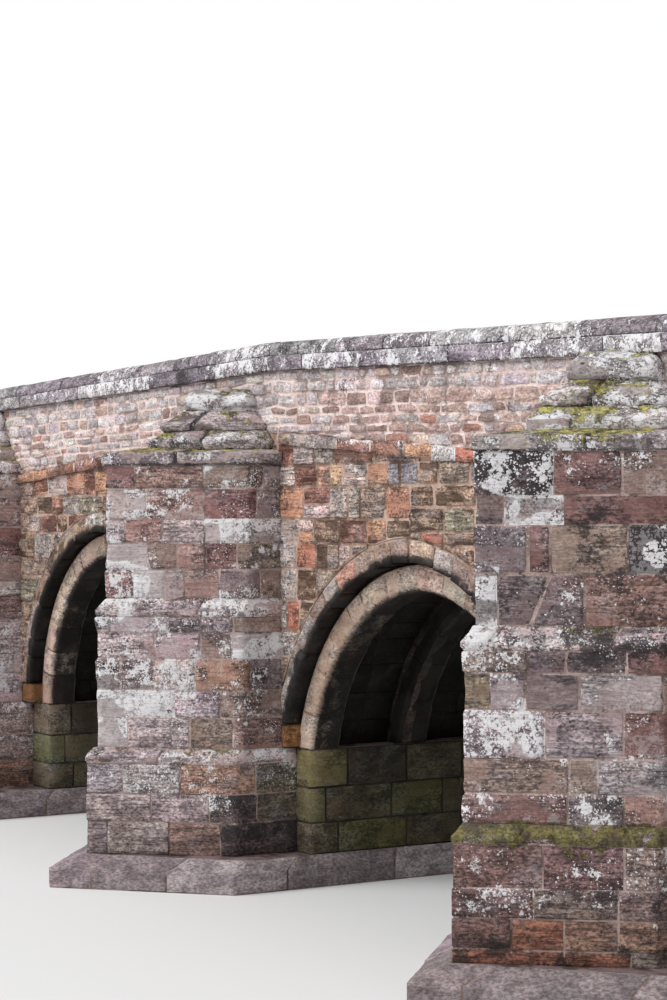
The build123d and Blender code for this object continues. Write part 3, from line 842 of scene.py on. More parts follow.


# Both pier weathers paint shade, as a band of black crust, under the caps and the middle ledge
PIER_WEATHER = weather_of(lichen=0.40, crust=0.14, ledge_moss=0.35, shade_under_lips=True, low_ledge_moss=0.1)
RIGHT_PIER_WEATHER = weather_of(lichen=0.44, crust=0.26, ledge_moss=0.35, shade_under_lips=True, low_ledge_moss=0.62)
for number, pier in enumerate(PIERS):
    for side_name, side in SIDES.items():
        node = f"{pier}_{side_name}_cutwater"
        work = Masonry(f"{node}_stones", 100 + 10 * number + (side > 0))
        lay_cutwater(work, node, pier, side)
        work.build(RIGHT_PIER_WEATHER if pier == "right_pier" else PIER_WEATHER, "pier")

# %% [markdown]
# Each cutwater ends in four stepped slabs that throw the rain off, and moss grows on them. They
# could be stacked blocks, but they are cut into each other. So every slab is laid like a ledge
# that wraps its lip, and the last one is a single weathered block that closes over the top.

# %% Lay the stepped caps
def lay_cap(work, node, pier, side):
    pier_x, wall = PIER_AXES[pier], side * WALL
    for slab in range(4):
        foot, lip, top = CAP_LEVELS[2 * slab : 2 * slab + 3]
        outer, inner = [core_outline(node, level, pier_x, side) for level in (lip, top)]
        rows = [nose_row(pier_x, outline, WALL, side, height)
                for outline, height in ((outer, foot), (outer, lip), (inner, top))]
        if slab < 3:
            lay_courses(work, Sheet(rows, (0, side, 0.3)), None, 0.75, CAP,
                        dict(SLAB, step=step_for(side, pier), proud=0.034))
    closed = [(pier_x + 0.06 * (x - pier_x), wall + 0.06 * (y - wall), z + 0.02) for x, y, z in rows[-1]]
    sheet = Sheet([*rows, closed], (0, side, 0.3))
    block = dict(SLAB, step=0.05, rough=0.03, proud=0.04, flush=0.04, edge=0.03, lichen=0.12)
    lay_strip(work, sheet, sheet.s[[0, -1]], by_chance(work.rng, CAP), block)


CAP_WEATHER = weather_of(lichen=0.56, crust=0.24, moss=0.10, ledge_moss=0.66, sky_lichen=0.12)
for number, pier in enumerate(PIERS):
    node = pier + "_cutwater_caps"
    work = Masonry(f"{node}_stones", 200 + number)
    for side in SIDES.values():
        lay_cap(work, node, pier, side)
    work.build(CAP_WEATHER, "cap")

# %% [markdown]
# The footings are smooth, long stones whose top slopes up to the plinth. Water keeps them damp,
# so their lower edge is darker. A plain bevelled block would do for one of them, but the sheet
# gives it joints that meet the corners, so it is used here too.

# %% Lay the footings
def footing_row(node, pier_x, side, level):
    """The corners round a footing at a level, from one side of the pier to the other."""
    points = core_points(node, level, side)
    left, right = points[:, 0].min(), points[:, 0].max()
    shoulder = (points[abs(points[:, 0] - left) < SAME_EDGE][:, 1] * side).max()
    nose = (points[:, 1] * side).max()
    corners = ((left, 0), (left, shoulder), (pier_x, nose), (right, shoulder), (right, 0))
    return [(x, side * y, level) for x, y in corners]


for number, pier in enumerate(PIERS):
    node, pier_x = pier + "_footing", PIER_AXES[pier]
    work = Masonry(f"{node}_stones", 300 + number)
    for side in SIDES.values():
        rows = [footing_row(node, pier_x, side, level) for level in (0.0, FOOTING_EDGE, FOOTING_TOP)]
        lay_courses(work, Sheet(rows, (0, side, 0.2)), None, 0.95, FOOTING,
                    dict(ASHLAR, edge=0.02, rough=0.006, step=step_for(side, pier), closed=True))
    work.build(weather_of(lichen=-0.25, crust=-0.1, ledge_moss=0.12, damp=0.05), "footing")

# %% [markdown]
# An arch is a ring of wedge-shaped stones whose joints point at the centre it was struck from.
# The stones could be copied round with an Array modifier, but with two centres the wedges at the
# crown would differ from the rest. So the arch line is walked from its left foot over the crown
# to its right foot, and the same share of the walk is used for the back and the front of the
# ring, which turns every joint to its centre.

# %% Walk along the arch lines
ARCH_STEPS = 16


def arch_walk(arch, offset, foot):
    """Points (x, z) along an arch line that is `offset` outside the outer order's edge."""
    centre_x, radius, centre = ARCHES[arch]
    r = radius + offset
    angles = np.linspace(math.asin((foot - centre) / r), math.acos(CENTRE_SHIFT / r), ARCH_STEPS + 1)
    right = [(centre_x - CENTRE_SHIFT + r * math.cos(a), centre + r * math.sin(a)) for a in angles]
    left = [(2 * centre_x - x, z) for x, z in right]
    return left + right[-2::-1]


def arch_sheet(arch, profile, foot, out):
    """profile lists (offset, y) across the ring."""
    rows = [[(x, y, z) for x, z in arch_walk(arch, offset, foot)] for offset, y in profile]
    return Sheet(rows, out, hard_s=[ARCH_STEPS])


for arch in ARCHES:
    sheet = arch_sheet(arch, ((0.0, 0), (0.1, 0)), ORDER_FOOT, (0, 1, 0))
    print(arch, "is", round(sheet.s[-1], 2), "m round")

# %% [markdown]
# The wall stones have looks of their own, from sound blue-grey blocks to red ones that have gone
# back along their beds. They could share the tones of the piers, but the wall over the near arch
# is the most colourful part of the bridge. So each look is a letter with a tone and its own wear.

# %% Describe the looks of the wall stones
SOUND = dict(rough=0.004, flush=0.020, flake=0.002)
WORN = dict(rough=0.014, flush=0.012, bedded=0.006)
HOLLOW = dict(rough=0.016, flush=0.006, bedded=0.016, flake=0.0, even=1.0)
# G blue-grey, P pale pink, g grey, w lichened, n brown, v olive, S salmon, B buff, o orange,
# s sandy, x bright red, R red in beds, D dark red and E brown that are deeply eroded
WALL_LOOKS = {
    "G": (tone_of(150, 147, 151), SOUND),
    "P": (tone_of(204, 184, 179), dict(SOUND, lichen=-0.25)),
    "g": (tone_of(172, 160, 156), SOUND),
    "w": (tone_of(178, 168, 162), dict(WORN, lichen=0.3)),
    "n": (tone_of(158, 140, 128), SOUND),
    "v": (tone_of(150, 142, 124), SOUND),
    "S": (tone_of(198, 152, 139), dict(SOUND, lichen=-0.25)),
    "B": (tone_of(196, 176, 154), dict(SOUND, lichen=-0.2)),
    "o": (tone_of(184, 144, 121), WORN),
    "s": (tone_of(190, 162, 136), WORN),
    "x": (tone_of(174, 121, 103), WORN),
    "R": (tone_of(168, 126, 113), dict(HOLLOW, bedded=0.010)),
    "D": (tone_of(146, 108, 98), HOLLOW),
    "E": (tone_of(160, 136, 118), HOLLOW),
}
print("looks of wall stones:", len(WALL_LOOKS))

# %% [markdown]
# The outer order is the ring of stones in the wall's face, and the ribs are set back under it.
# Rain leaves its face pale. Its overhanging edge and its soffit are painted black as shade, where
# the order overhangs the rib, and this painted shade is stored with the weather.
# Stones that show clearly are listed, and the rest of each ring is laid by chance.

# %% Lay the outer orders
SOFFIT_DEPTH = 0.17
# The order over the near arch: how far along the wall each of its stones ends, and its look
NEAR_ORDER = "1.10w 1.33w 1.56n 1.77w 2.09S 2.42n 2.68E 2.96n 3.34B 3.62g 3.95n 4.25E 4.55n"


def sooted(arch):
    """Weather of an outer order, with painted shade: black along the edge that overhangs the rib."""
    weather = weather_of(lichen=0.1, crust=0.1, ledge_moss=0.1, soffit=1.0)
    centre_x, radius, centre = ARCHES[arch]

    def paint(points, out):
        edge = np.hypot(abs(points[:, 0] - centre_x) + CENTRE_SHIFT, points[:, 2] - centre) - radius
        # painted shade: a black band along the edge that overhangs the rib, widest at the feet
        width = 0.070 - 0.048 * smooth_step(2.0, 2.75, points[:, 2])
        painted_shade = smooth_step(0.03, -0.02, edge - width + 0.022 * noise(points, 0.12, 71))
        return weather(points, out) + painted_shade[:, None] * np.array([-0.9, 1.0, 0.0, 0.9])

    return paint


def order_stones(work, arch, side, sheet):
    """The joints of an outer order and the letters of its stones."""
    edges = set_out(work.rng, sheet.s[0], sheet.s[-1], 0.36, 0.4)
    letters = list(work.rng.choice(list("wnEnBggnE"), len(edges) - 1))
    if arch == "right_arch" and side < 0:
        along = np.linspace(sheet.s[0], sheet.s[-1], 400)
        reach = sheet.at(along, along * 0, along * 0)[0][:, 0]
        ends, letters = zip(*listed(NEAR_ORDER))
        edges = [sheet.s[0], *np.interp(ends, reach, along), sheet.s[-1]]
    return edges, [*letters, "n"]


for number, arch in enumerate(ARCHES):
    work = Masonry(f"{arch}_outer_orders_stones", 400 + number)
    for side in SIDES.values():
        profile = ((ORDER_DEPTH, side * WALL), (0.0, side * WALL), (0.0, side * (WALL - SOFFIT_DEPTH)))
        sheet = arch_sheet(arch, profile, ORDER_FOOT, (0, side, 0))
        edges, letters = order_stones(work, arch, side, sheet)
        lay_strip(work, sheet, edges, [WALL_LOOKS[letter] for letter in letters],
                  dict(WORN_ASHLAR, proud=0.03, step=0.04 if side < 0 else 0.09, closed=True))
    work.build(sooted(arch), "arch")

# %% [markdown]
# Five ribs with chamfered edges carry the vault, and thin webs of rough stone span from rib to
# rib. One rib could be made and copied five times, but the copies would share every flaw. Each
# rib is a sheet of its own with six columns across its profile, and each web is a flat sheet.
# Only the rib in the face is close enough to need small steps, so the others use long ones.

# %% Lay the chamfered ribs and the webs between them
RIB_COUNT = 5
BACK, FRONT = -RIB_GAP, -RIB_GAP - RIB_DEPTH
RIB_KIND = dict(WORN_ASHLAR, proud=0.012, flush=0.004, mortar=0.004, flake=0.004, closed=True)


def rib_profile(y0, y1):
    """Six corners across a rib that hangs between two places across the bridge."""
    chamfer = FRONT + RIB_CHAMFER
    front = ((FRONT, y0 + RIB_CHAMFER), (FRONT, y1 - RIB_CHAMFER))
    return ((BACK, y0), (chamfer, y0), *front, (chamfer, y1), (BACK, y1))


def lay_web(web, arch, y0, y1):
    sheet = arch_sheet(arch, ((BACK, y0), (BACK, y1)), SPRINGING, (0, 0, -1))
    for s0, s1 in pairs(set_out(web.rng, sheet.s[0], sheet.s[-1], 0.26, 0.3)):
        for t0, t1 in pairs(set_out(web.rng, sheet.t[0], sheet.t[-1], 0.32, 0.4)):
            web.stone(sheet, s0, s1, t0, t1, pick(web.rng, SHADED_VAULT), dict(ASHLAR, step=0.14, simple=True))


# Painted shade: ribs and webs go dark towards the inside of the arch and on soffits, the webs almost black
RIB_WEATHER = weather_of(lichen=0.0, crust=0.15, moss=0.05, damp=0.05, deep=0.9, soffit=0.85)
WEB_WEATHER = weather_of(lichen=-0.4, crust=0.3, moss=0.05, damp=0.7, ledge_moss=0, deep=0.5)
for number, arch in enumerate(ARCHES):
    low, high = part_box(arch + "_ribs")
    pitch = (high.y - low.y - RIB_WIDTH) / (RIB_COUNT - 1)
    ribs = Masonry(f"{arch}_ribs_stones", 500 + number)
    web = Masonry(f"{arch}_vault_stones", 550 + number)
    for place in range(RIB_COUNT):
        y0 = low.y + place * pitch
        y1 = y0 + RIB_WIDTH
        sheet = arch_sheet(arch, rib_profile(y0, y1), SPRINGING, (0, 0, -1))
        # the inner ribs take their tones at 0.45 as painted shade under the vault
        lay_strip(ribs, sheet, set_out(ribs.rng, sheet.s[0], sheet.s[-1], 0.33, 0.35),
                  by_chance(ribs.rng, RING, 1.0 if place in (0, RIB_COUNT - 1) else 0.45),
                  dict(RIB_KIND, step=0.05 if place == 0 else 0.2))
        if place < RIB_COUNT - 1:
            lay_web(web, arch, y1, y0 + pitch)
    ribs.build(RIB_WEATHER, "rib")
    web.build(WEB_WEATHER, "vault")

# %% [markdown]
# Under the arches the shafts show as upright jambs, greened by damp, and one block in the wall's
# face carries the foot of each outer order. The jambs could be left as plain core in the dark,
# but light from the water side reaches their first stones, so they are laid like the piers.

# %% Lay the jambs and the springers
JAMB_LEVELS = (FOOTING_TOP, 0.55, 0.86, SPRINGING)
SPRINGER_BACK = 1.83
SPRINGER_TONE = tone_of(132, 96, 66)


def half_span(arch, offset, level):
    """Half width of an arch at a level, on a line offset from the outer order's edge."""
    _, radius, centre = ARCHES[arch]
    return arch_reach(radius + offset, centre, level)


def order_foot_x(arch):
    """How far from a pier's axis the foot of an outer order stands."""
    rib_level = max(SPRINGING, ARCHES[arch][2])
    return BAY / 2 - min(half_span(arch, 0.0, ORDER_FOOT), half_span(arch, -RIB_GAP, rib_level))


def lay_jamb(work, pier_x, direction, arch, side, jamb_x, halves):
    """The stones under an arch's foot, and the block that carries the outer order."""
    plinth_x, stage_x, order_x = [pier_x + direction * reach for reach in (*halves, order_foot_x(arch))]
    columns = ((plinth_x, side * RIB_FACE), (jamb_x, side * RIB_FACE), (jamb_x, 0))
    sheet = upright(columns, (FOOTING_TOP, SPRINGING), (direction, 0, 0), t_start=FOOTING_TOP)
    lay_courses(work, sheet, JAMB_LEVELS, 0.55, JAMB, dict(WORN_ASHLAR, step=0.11))
    columns = ((stage_x, side * WALL), (order_x, side * WALL), (order_x, side * SPRINGER_BACK))
    sheet = upright(columns, (SPRINGING, ORDER_FOOT), (direction, side, 0))
    lay_strip(work, sheet, sheet.s[[0, -1]], [(SPRINGER_TONE, {})], dict(ERODED, step=0.04, closed=True))


for number, (pier, pier_x) in enumerate(PIER_AXES.items()):
    work = Masonry(f"{pier}_shaft_stones", 600 + number)
    low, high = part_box(pier + "_shaft")
    node = pier + "_downstream_cutwater"
    halves = [core_outline(node, lip, pier_x, -1)[0] for lip in (PLINTH_LIP, MIDDLE_LIP)]
    for direction, jamb_x in ((-1, low.x), (1, high.x)):
        for side in SIDES.values():
            lay_jamb(work, pier_x, direction, ARCH_LIST[number + (direction > 0)], side, jamb_x, halves)
    # the jambs go darker towards the inside of the arch as painted shade, and are greened by damp
    work.build(weather_of(lichen=-0.1, crust=0.15, moss=0.25, damp=0.2, deep=0.8), "jamb")

# %% [markdown]
# The bridge ends in two abutments, which are half piers without a cutwater. On the real bridge an
# approach wall or a further bay goes on from here. The ends could be left as bare core, but they
# are seen from the side, so they get plain courses with almost no relief.

# %% Lay the abutments
def lay_abutment(work, name, direction, arch):
    end_x, axis_x = direction * HALF_LENGTH, direction * 2 * BAY
    jamb_x = axis_x - direction * (BAY / 2 - half_span(arch, FRONT, SPRINGING))
    order_x = axis_x - direction * order_foot_x(arch)
    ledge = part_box(name)[1].y - WALL
    foot_x = jamb_x - direction * ledge
    for side in SIDES.values():
        kind = dict(ASHLAR, step=0.09 if side < 0 and direction > 0 else 0.13)
        out, wall = (-direction, side * 0.5, 0), side * WALL
        columns = ((end_x, wall), (jamb_x, wall), (jamb_x, 0))
        sheet = upright(columns, (FOOTING_TOP, SPRINGING), out, t_start=FOOTING_TOP)
        lay_courses(work, sheet, JAMB_LEVELS, 0.6, PIER_LOW, kind)
        outer = ((end_x, side * (WALL + ledge)), (foot_x, side * (WALL + ledge)), (foot_x, 0))
        levels = ((outer, 0.0), (outer, FOOTING_TOP), (columns, FOOTING_TOP))
        rows = [[(*c, z) for c in line] for line, z in levels]
        lay_courses(work, Sheet(rows, out), None, 0.9, FOOTING, dict(kind, edge=0.03))
        columns = ((end_x, wall), (order_x, wall), (order_x, side * SPRINGER_BACK))
        sheet = upright(columns, (SPRINGING, ORDER_FOOT), out, t_start=SPRINGING)
        lay_courses(work, sheet, (SPRINGING, ORDER_FOOT), 0.6, PIER_LOW, kind)
    end_top = ROAD_CREST - ROAD_FALL * HALF_LENGTH
    sheet = upright(((end_x, -WALL), (end_x, WALL)), (0.0, end_top), (direction, 0, 0))
    kind = {**ASHLAR, **PLAIN_FACE, "step": 0.25}
    lay_courses(work, sheet, courses(work.rng, 0.0, end_top, 0.29), 0.6, PIER_LOW, kind)


for name, direction, arch in (("left_abutment", -1, ARCH_LIST[0]), ("right_abutment", 1, ARCH_LIST[-1])):
    work = Masonry(f"{name}_stones", 620 + direction)
    lay_abutment(work, name, direction, arch)
    work.build(weather_of(lichen=0.0, crust=0.15, moss=0.1, damp=0.1), "pier")

# %% [markdown]
# The wall over an arch is level courses that are cut off by the back of the ring. The stones
# could be laid as a full wall and cut with a Boolean modifier, but that leaves slivers. So where a
# course meets the ring, steep joints are cut at the stone's end and flat ones at its bed. On the
# near wall each stone's end and look is listed. Elsewhere they come by chance from the same looks.

# %% List the stones of the wall over the near arch
# Row by row: its bed, its top, where it starts, and then the end and the look of each stone. Two
# letters are two thin stones, the lower one first.
NEAR_WALL = (
    (ORDER_FOOT, 1.78, 0.80, "1.30w"),
    (1.78, 2.02, 0.80, "1.00n 1.35w"),
    (2.02, 2.25, 0.80, "1.12w 1.50w"),
    (2.25, 2.52, 0.80, "0.97w 1.18x 1.60E"),
    (2.52, 2.80, 0.80, "1.13w 1.47E 1.80n"),
    (2.80, 3.03, 0.80, "1.13w 1.46x 1.66E 1.86n 2.06P 2.30g 2.97E"),
    (2.80, 3.03, 2.97, "3.90E"),
    (3.03, 3.24, 0.80, "1.17w 1.43oP 1.88E 2.31D 2.62o 2.97E"),
    (3.03, 3.14, 2.97, "3.15E 3.46x 3.95E"),
    (3.14, 3.34, 2.97, "3.48E 3.90v"),
    (3.24, 3.52, 0.80, "1.26o 1.71PD 2.00g 2.21w 2.60n 2.97o"),
    (3.34, 3.52, 2.97, "3.33E 3.93E"),
    (3.52, 3.71, 0.80, "1.13P 1.50D 1.72o 1.90s 2.31Pw 2.64o 2.83G 3.10G 3.40E"),
    (3.52, 4.20, 3.40, "3.85n 4.20g 4.60E 5.00n"),
    (3.71, 4.20, 0.00, "0.40n 0.80E 1.08R 1.46g 1.78g 2.42R 2.64n 3.10G 3.40R"),
)
WALL_MIX = list("ooRRDEEEnnggPvwEnRnE")
print("rows of the near wall:", len(NEAR_WALL))

# %% Find where a course meets the ring
JOINT_OVER_RING = 0.004


class Ring:
    """The back of an arch's ring, which the courses of the wall over it run against."""

    def __init__(self, arch):
        self.x, radius, self.centre = ARCHES[arch]
        self.back = radius + ORDER_DEPTH
        self.crown = arch_height(self.back, self.centre, 0.0)

    def bed_over(self, z0):
        """The bed of a course: level, or the back of the ring where that is higher."""
        def bed(s):
            reach = abs(s - self.x) + CENTRE_SHIFT
            line = self.centre + np.sqrt(np.maximum(self.back**2 - reach**2, 0)) + JOINT_OVER_RING
            return np.where(reach < self.back, np.maximum(z0, line), z0)

        return bed

    def end_against(self, sign):
        """The end of a stone that leans on the left (-1) or right (1) of the ring."""
        def cut(t):
            rise = np.clip(t - self.centre, 0, self.back)
            return self.x + sign * (np.sqrt(self.back**2 - rise**2) - CENTRE_SHIFT + JOINT_OVER_RING)

        return cut

    def runs(self, z0, z1, start, end):
        """The lengths of a course that the ring leaves, each with the joint cut against it, if any."""
        if z1 >= self.crown and z0 >= self.crown:
            return [(start, end, None)]
        wide = arch_reach(self.back, self.centre, z0)
        narrow = arch_reach(self.back, self.centre, z1) if z1 < self.crown else 0.0
        if wide - narrow < 0.3:
            middle = (wide + narrow) / 2
            left = (start, self.x - middle, self.end_against(-1))
            return [left, (self.x + middle, end, self.end_against(1))]
        if z1 < self.crown:
            return [(start, self.x - narrow, None), (self.x + narrow, end, None)]
        return [(start, end, None)]


for arch in ARCHES:
    print(arch, "ring rises to", round(Ring(arch).crown, 3))

# %% Lay the spandrel walls
WALL_MEAN = 0.36


def wall_rows(work, arch, side, first):
    """The courses over an arch: bed, top, start and listed stones."""
    if arch == "right_arch" and side < 0:
        return [(*row, listed(stones)) for *row, stones in NEAR_WALL]
    beds = [*courses(work.rng, ORDER_FOOT, CAP_FOOT, 0.235, 0.22), CAP_FOOT + 0.14, CAP_FOOT + 0.27]
    return [(z0, z1, first, ()) for z0, z1 in pairs(beds)]


def wall_joints(rng, a, b, drawn, below):
    """The joints of one length of a course, from its list or by chance."""
    ends = [end for end, _ in drawn if a + 0.07 < end < b - 0.07]
    if drawn and b - (ends[-1] if ends else a) < 0.6:
        return [a, *ends, b]
    if drawn and ends:
        return [a, *ends[:-1], *set_out(rng, ends[-1], b, WALL_MEAN, 0.3)]
    return set_out(rng, a, b, WALL_MEAN, 0.4, below=below)


def lay_spandrel(work, arch, side, kind):
    ring = Ring(arch)
    wall = side * WALL
    columns = ((-HALF_LENGTH, wall), (HALF_LENGTH, wall))
    sheet = upright(columns, (0.0, 5.0), (0, side, 0), s_start=-HALF_LENGTH)
    half_pier = core_outline("right_pier_downstream_cutwater", UPPER_FOOT, PIER_AXES["right_pier"], -1)[0]
    first, last = ring.x - BAY / 2, ring.x + BAY / 2
    between = [first + half_pier, last - half_pier]
    whole = [first, last]
    if arch == ARCH_LIST[0]:
        between[0] = whole[0] = -HALF_LENGTH
    if arch == ARCH_LIST[-1]:
        between[1] = whole[1] = HALF_LENGTH
    rows = wall_rows(work, arch, side, whole[0])
    starts = {row[2] for row in rows}
    below = ()
    for z0, z1, row_start, drawn in rows:
        start, end = between if z1 < CAP_FOOT + 0.05 else whole
        start = max(start, row_start)
        if drawn and drawn[-1][0] > row_start + 0.2 and drawn[-1][0] in starts:
            end = min(end, drawn[-1][0])

        def top(s, z1=z1):
            return np.minimum(z1, road_line(s) - STRING_HEIGHT)

        joints = []
        for a, b, cut in ring.runs(z0, z1, start, end):
            if b - a < 0.05:
                continue
            edges = wall_joints(work.rng, a, b, drawn, below)
            joints += list(edges[1:-1])
            foot = ring.bed_over(z0) if cut is None and z0 < ring.crown else z0
            for s0, s1 in pairs(edges):
                left = cut if cut and a == s0 and a > ring.x else s0
                right = cut if cut and b == s1 and b < ring.x else s1
                named = [letters for place, letters in drawn if place > (s0 + s1) / 2]
                letters = named[0] if named else str(work.rng.choice(WALL_MIX))
                lower, upper = foot, z0 + (0.45 if len(letters) > 1 else 1.0) * (z1 - z0)
                for letter in letters:
                    tone, own = WALL_LOOKS[letter]
                    work.stone(sheet, left, right, lower, upper if upper < z1 else top, tone, kind, **own)
                    lower, upper = upper, z1
        below = joints


for number, arch in enumerate(ARCHES):
    for side_name, side in SIDES.items():
        work = Masonry(f"{arch}_{side_name}_spandrel_stones", 700 + 10 * number + (side > 0))
        near = side < 0 and arch in ("left_arch", "right_arch")
        lay_spandrel(work, arch, side, dict(ERODED, step=0.035 if near else 0.12))
        work.build(weather_of(lichen=0.12, crust=0.1, ledge_moss=0.2), "spandrel")

# %% [markdown]
# The parapets are small rubble, whose courses follow the coping and not the road. They could be
# laid level like the walls, but the slope of the hump would then cut every course. So the sheet is
# sheared to the coping, and the lowest stones are cut to the slope of the string course. Rubble
# has no true edges, so the beds wave and the joints lean.

# %% Lay the parapets
PARAPET_DROP = 1.3
LOWEST_COURSE = -1.15


def parapet_sheet(y, facing):
    """A sheet sheared to the coping, whose t is 0 at the coping and falls below it."""
    places = (-HALF_LENGTH, 0.0, COPING_CREST_X, HALF_LENGTH)
    rows = [[(x, y, coping_line(x) - drop) for x in places] for drop in (PARAPET_DROP, 0.0)]
    return Sheet(rows, (0, facing, 0), s_start=-HALF_LENGTH, t_start=-PARAPET_DROP, hard_s=[])


def wavy(level, seed, size, facing):
    """A bed that waves about a level."""
    def line(s):
        place = np.stack([s, s * 0 + level * 7, s * 0 + facing], -1)
        return level + size * noise(place, 0.25, seed)

    return line


def leaning(end, lean, level):
    """A joint that leans."""
    return lambda t: end + lean * (t - level - 0.06)


def share_of_pale(level, s):
    """The rubble is palest under the coping, and paler to the left of the near arch."""
    return 0.85 if level > -0.3 else 0.5 if s < 1.4 else 0.12


def lay_parapet_face(work, y, facing, foot_rise, near):
    sheet = parapet_sheet(y, facing)
    scale = (sheet.s[-1] - sheet.s[0]) / (2 * HALF_LENGTH)

    def foot_line(s):
        x = -HALF_LENGTH + (s + HALF_LENGTH) / scale
        return road_line(x) + foot_rise - coping_line(x)

    level, upper = 0.0, wavy(0.0, 1, 0.0, facing)
    while level > LOWEST_COURSE:
        high_course = work.rng.uniform() < 0.15 or level > -0.2
        course = work.rng.uniform(0.09, 0.12) if high_course else work.rng.uniform(0.058, 0.082)
        level -= course * (1.0 if near else 1.4)
        lower = wavy(level, int(-level * 1000), 0.014, facing)
        edges = set_out(work.rng, sheet.s[0], sheet.s[-1], 0.24 if near else 0.27, 0.55)
        leans = work.rng.normal(0, 0.25, len(edges))
        leans[0] = leans[-1] = 0.0
        joints = [leaning(end, lean, level) for end, lean in zip(edges, leans)]

        def bed(s, lower=lower):
            return np.maximum(lower(s), foot_line(s))

        for (s0, s1), (left, right) in zip(pairs(edges), pairs(joints)):
            middle = np.array([(s0 + s1) / 2])
            if float(foot_line(middle)[0]) > float(upper(middle)[0]) - 0.03:
                continue
            pale = work.rng.uniform() < share_of_pale(level, s0)
            tone = pick(work.rng, PARAPET_TOP if pale else PARAPET)
            work.stone(sheet, left, right, bed, upper, tone, dict(RUBBLE, step=0.07 if near else 0.10))
        upper = lower


for side_name, side in SIDES.items():
    work = Masonry(f"{side_name}_parapet_stones", 800 + (side > 0))
    outer, inner = side * WALL, side * (WALL - PARAPET_THICKNESS)
    lay_parapet_face(work, outer, side, 0.0, side < 0)
    lay_parapet_face(work, inner, -side, 0.06, False)
    for end_x in (-HALF_LENGTH, HALF_LENGTH):
        low, high = road_line(end_x), coping_line(end_x)
        sheet = upright(((end_x, inner), (end_x, outer)), (low, high), (end_x, 0, 0))
        lay_courses(work, sheet, courses(work.rng, 0.0, high - low, 0.1), 0.2, PARAPET,
                    dict(RUBBLE, proud=0.008, flush=0.006, mortar=0.003, rough=0.002, swell=0.0))
    work.build(weather_of(lichen=-0.02, crust=-0.05, ledge_moss=0.2), "parapet")

# %% [markdown]
# A string course is the thin band that parts the wall from the parapet. It could be one swept
# strip with a texture, but its stones have worn back by different amounts. So it is a sheet that
# wraps round the band's profile, cut into stones. The piers' caps interrupt it.

# %% Lay the string courses
# The string course over the near arch: where each stone ends, and its look
NEAR_STRING = "1.07n 1.87g 2.42R 2.95D 3.35o 3.68w 3.94x"
STRING_KIND = dict(WORN_ASHLAR, step=0.06, mortar=0.003, edge=0.016, wave=0.008, closed=True)
cap_half = float(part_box("middle_pier_cutwater_caps")[1].x)
stops = [-HALF_LENGTH]
for pier_x in PIER_AXES.values():
    stops += [pier_x - cap_half, pier_x + cap_half]
stops.append(HALF_LENGTH)


def string_look(letter):
    """The look of a wall stone, laid nearly flush."""
    tone, own = WALL_LOOKS[letter]
    return tone, dict(own, proud=0.018, flush=0.003, bedded=min(own.get("bedded", 0.0), 0.006))


for side_name, side in SIDES.items():
    work = Masonry(f"{side_name}_string_course_stones", 820 + (side > 0))
    front, wall = side * STRING_REACH, side * WALL
    profile = ((wall, -STRING_HEIGHT), (front, -STRING_HEIGHT), (front, 0.0), (wall, 0.0))
    for start, end in zip(stops[::2], stops[1::2]):
        rows = [[(x, y, road_line(x) + z) for x in (start, end)] for y, z in profile]
        sheet = Sheet(rows, (0, side, 0), s_start=start)
        edges = set_out(work.rng, sheet.s[0], sheet.s[-1], 0.7, 0.35)
        letters = work.rng.choice(list("gRnwDPEo"), len(edges))
        if side < 0 and start < BAY / 2 < end:
            places, letters = zip(*listed(NEAR_STRING))
            edges, letters = [start, *places, end], [*letters, "n"]
        lay_strip(work, sheet, edges, map(string_look, letters), STRING_KIND)
    work.build(weather_of(lichen=0.2, crust=0.05, ledge_moss=0.1), "string")

# %% [markdown]
# The coping has a flat band below and a rounded roll above, cut as long stones. It could be a
# curve with a bevel profile, which has no joints. The profile is wrapped in three sheets instead:
# the band on each side, and the roll over the top, so each has joints at its own places.

# %% Lay the moulded copings
# Half of each outline: the distance from the middle of the parapet and the height over its top
LOWER_BAND = ((0.265, 0.0), (0.265, 0.121), (0.239, 0.134))
UPPER_ROLL = ((0.237, 0.135), (0.237, 0.17875), (0.224, 0.222), (0.193, 0.249), (0.1495, 0.26))
OTHER_BAND = [(-d, z) for d, z in LOWER_BAND]
WHOLE_ROLL = [*UPPER_ROLL, *[(-d, z) for d, z in UPPER_ROLL[::-1]]]
for side_name, side in SIDES.items():
    work = Masonry(f"{side_name}_coping_stones", 840 + (side > 0))
    middle = side * (WALL - PARAPET_THICKNESS / 2)
    for outline, out, mean in (
        (LOWER_BAND, (0, 1, 0), 0.8), (OTHER_BAND, (0, -1, 0), 0.8), (WHOLE_ROLL, (0, 0, 1), 1.0)
    ):
        for start, end in ((-HALF_LENGTH, COPING_CREST_X), (COPING_CREST_X, HALF_LENGTH)):
            rows = [[(x, middle + d, coping_line(x) + z) for x in (start, end)] for d, z in outline]
            sheet = Sheet(rows, out, s_start=start)
            edges = set_out(work.rng, sheet.s[0], sheet.s[-1], mean, 0.35)
            lay_strip(work, sheet, edges, by_chance(work.rng, COPING), MOULDED)
    work.build(weather_of(lichen=0.50, crust=0.25, ledge_moss=0.02, sky_lichen=0.1), "coping")

# %% [markdown]
# All the marks of age are shader node groups that put out colours, masks and heights. A material
# takes the stone's own tone and weather masks from the mesh and mixes the groups into one shader.
# Photographs of stone could be wrapped on instead, but they carry their own light and repeat. A
# recipe is a node tree with a short method for each kind of node, so that each group below reads
# as a list of steps.

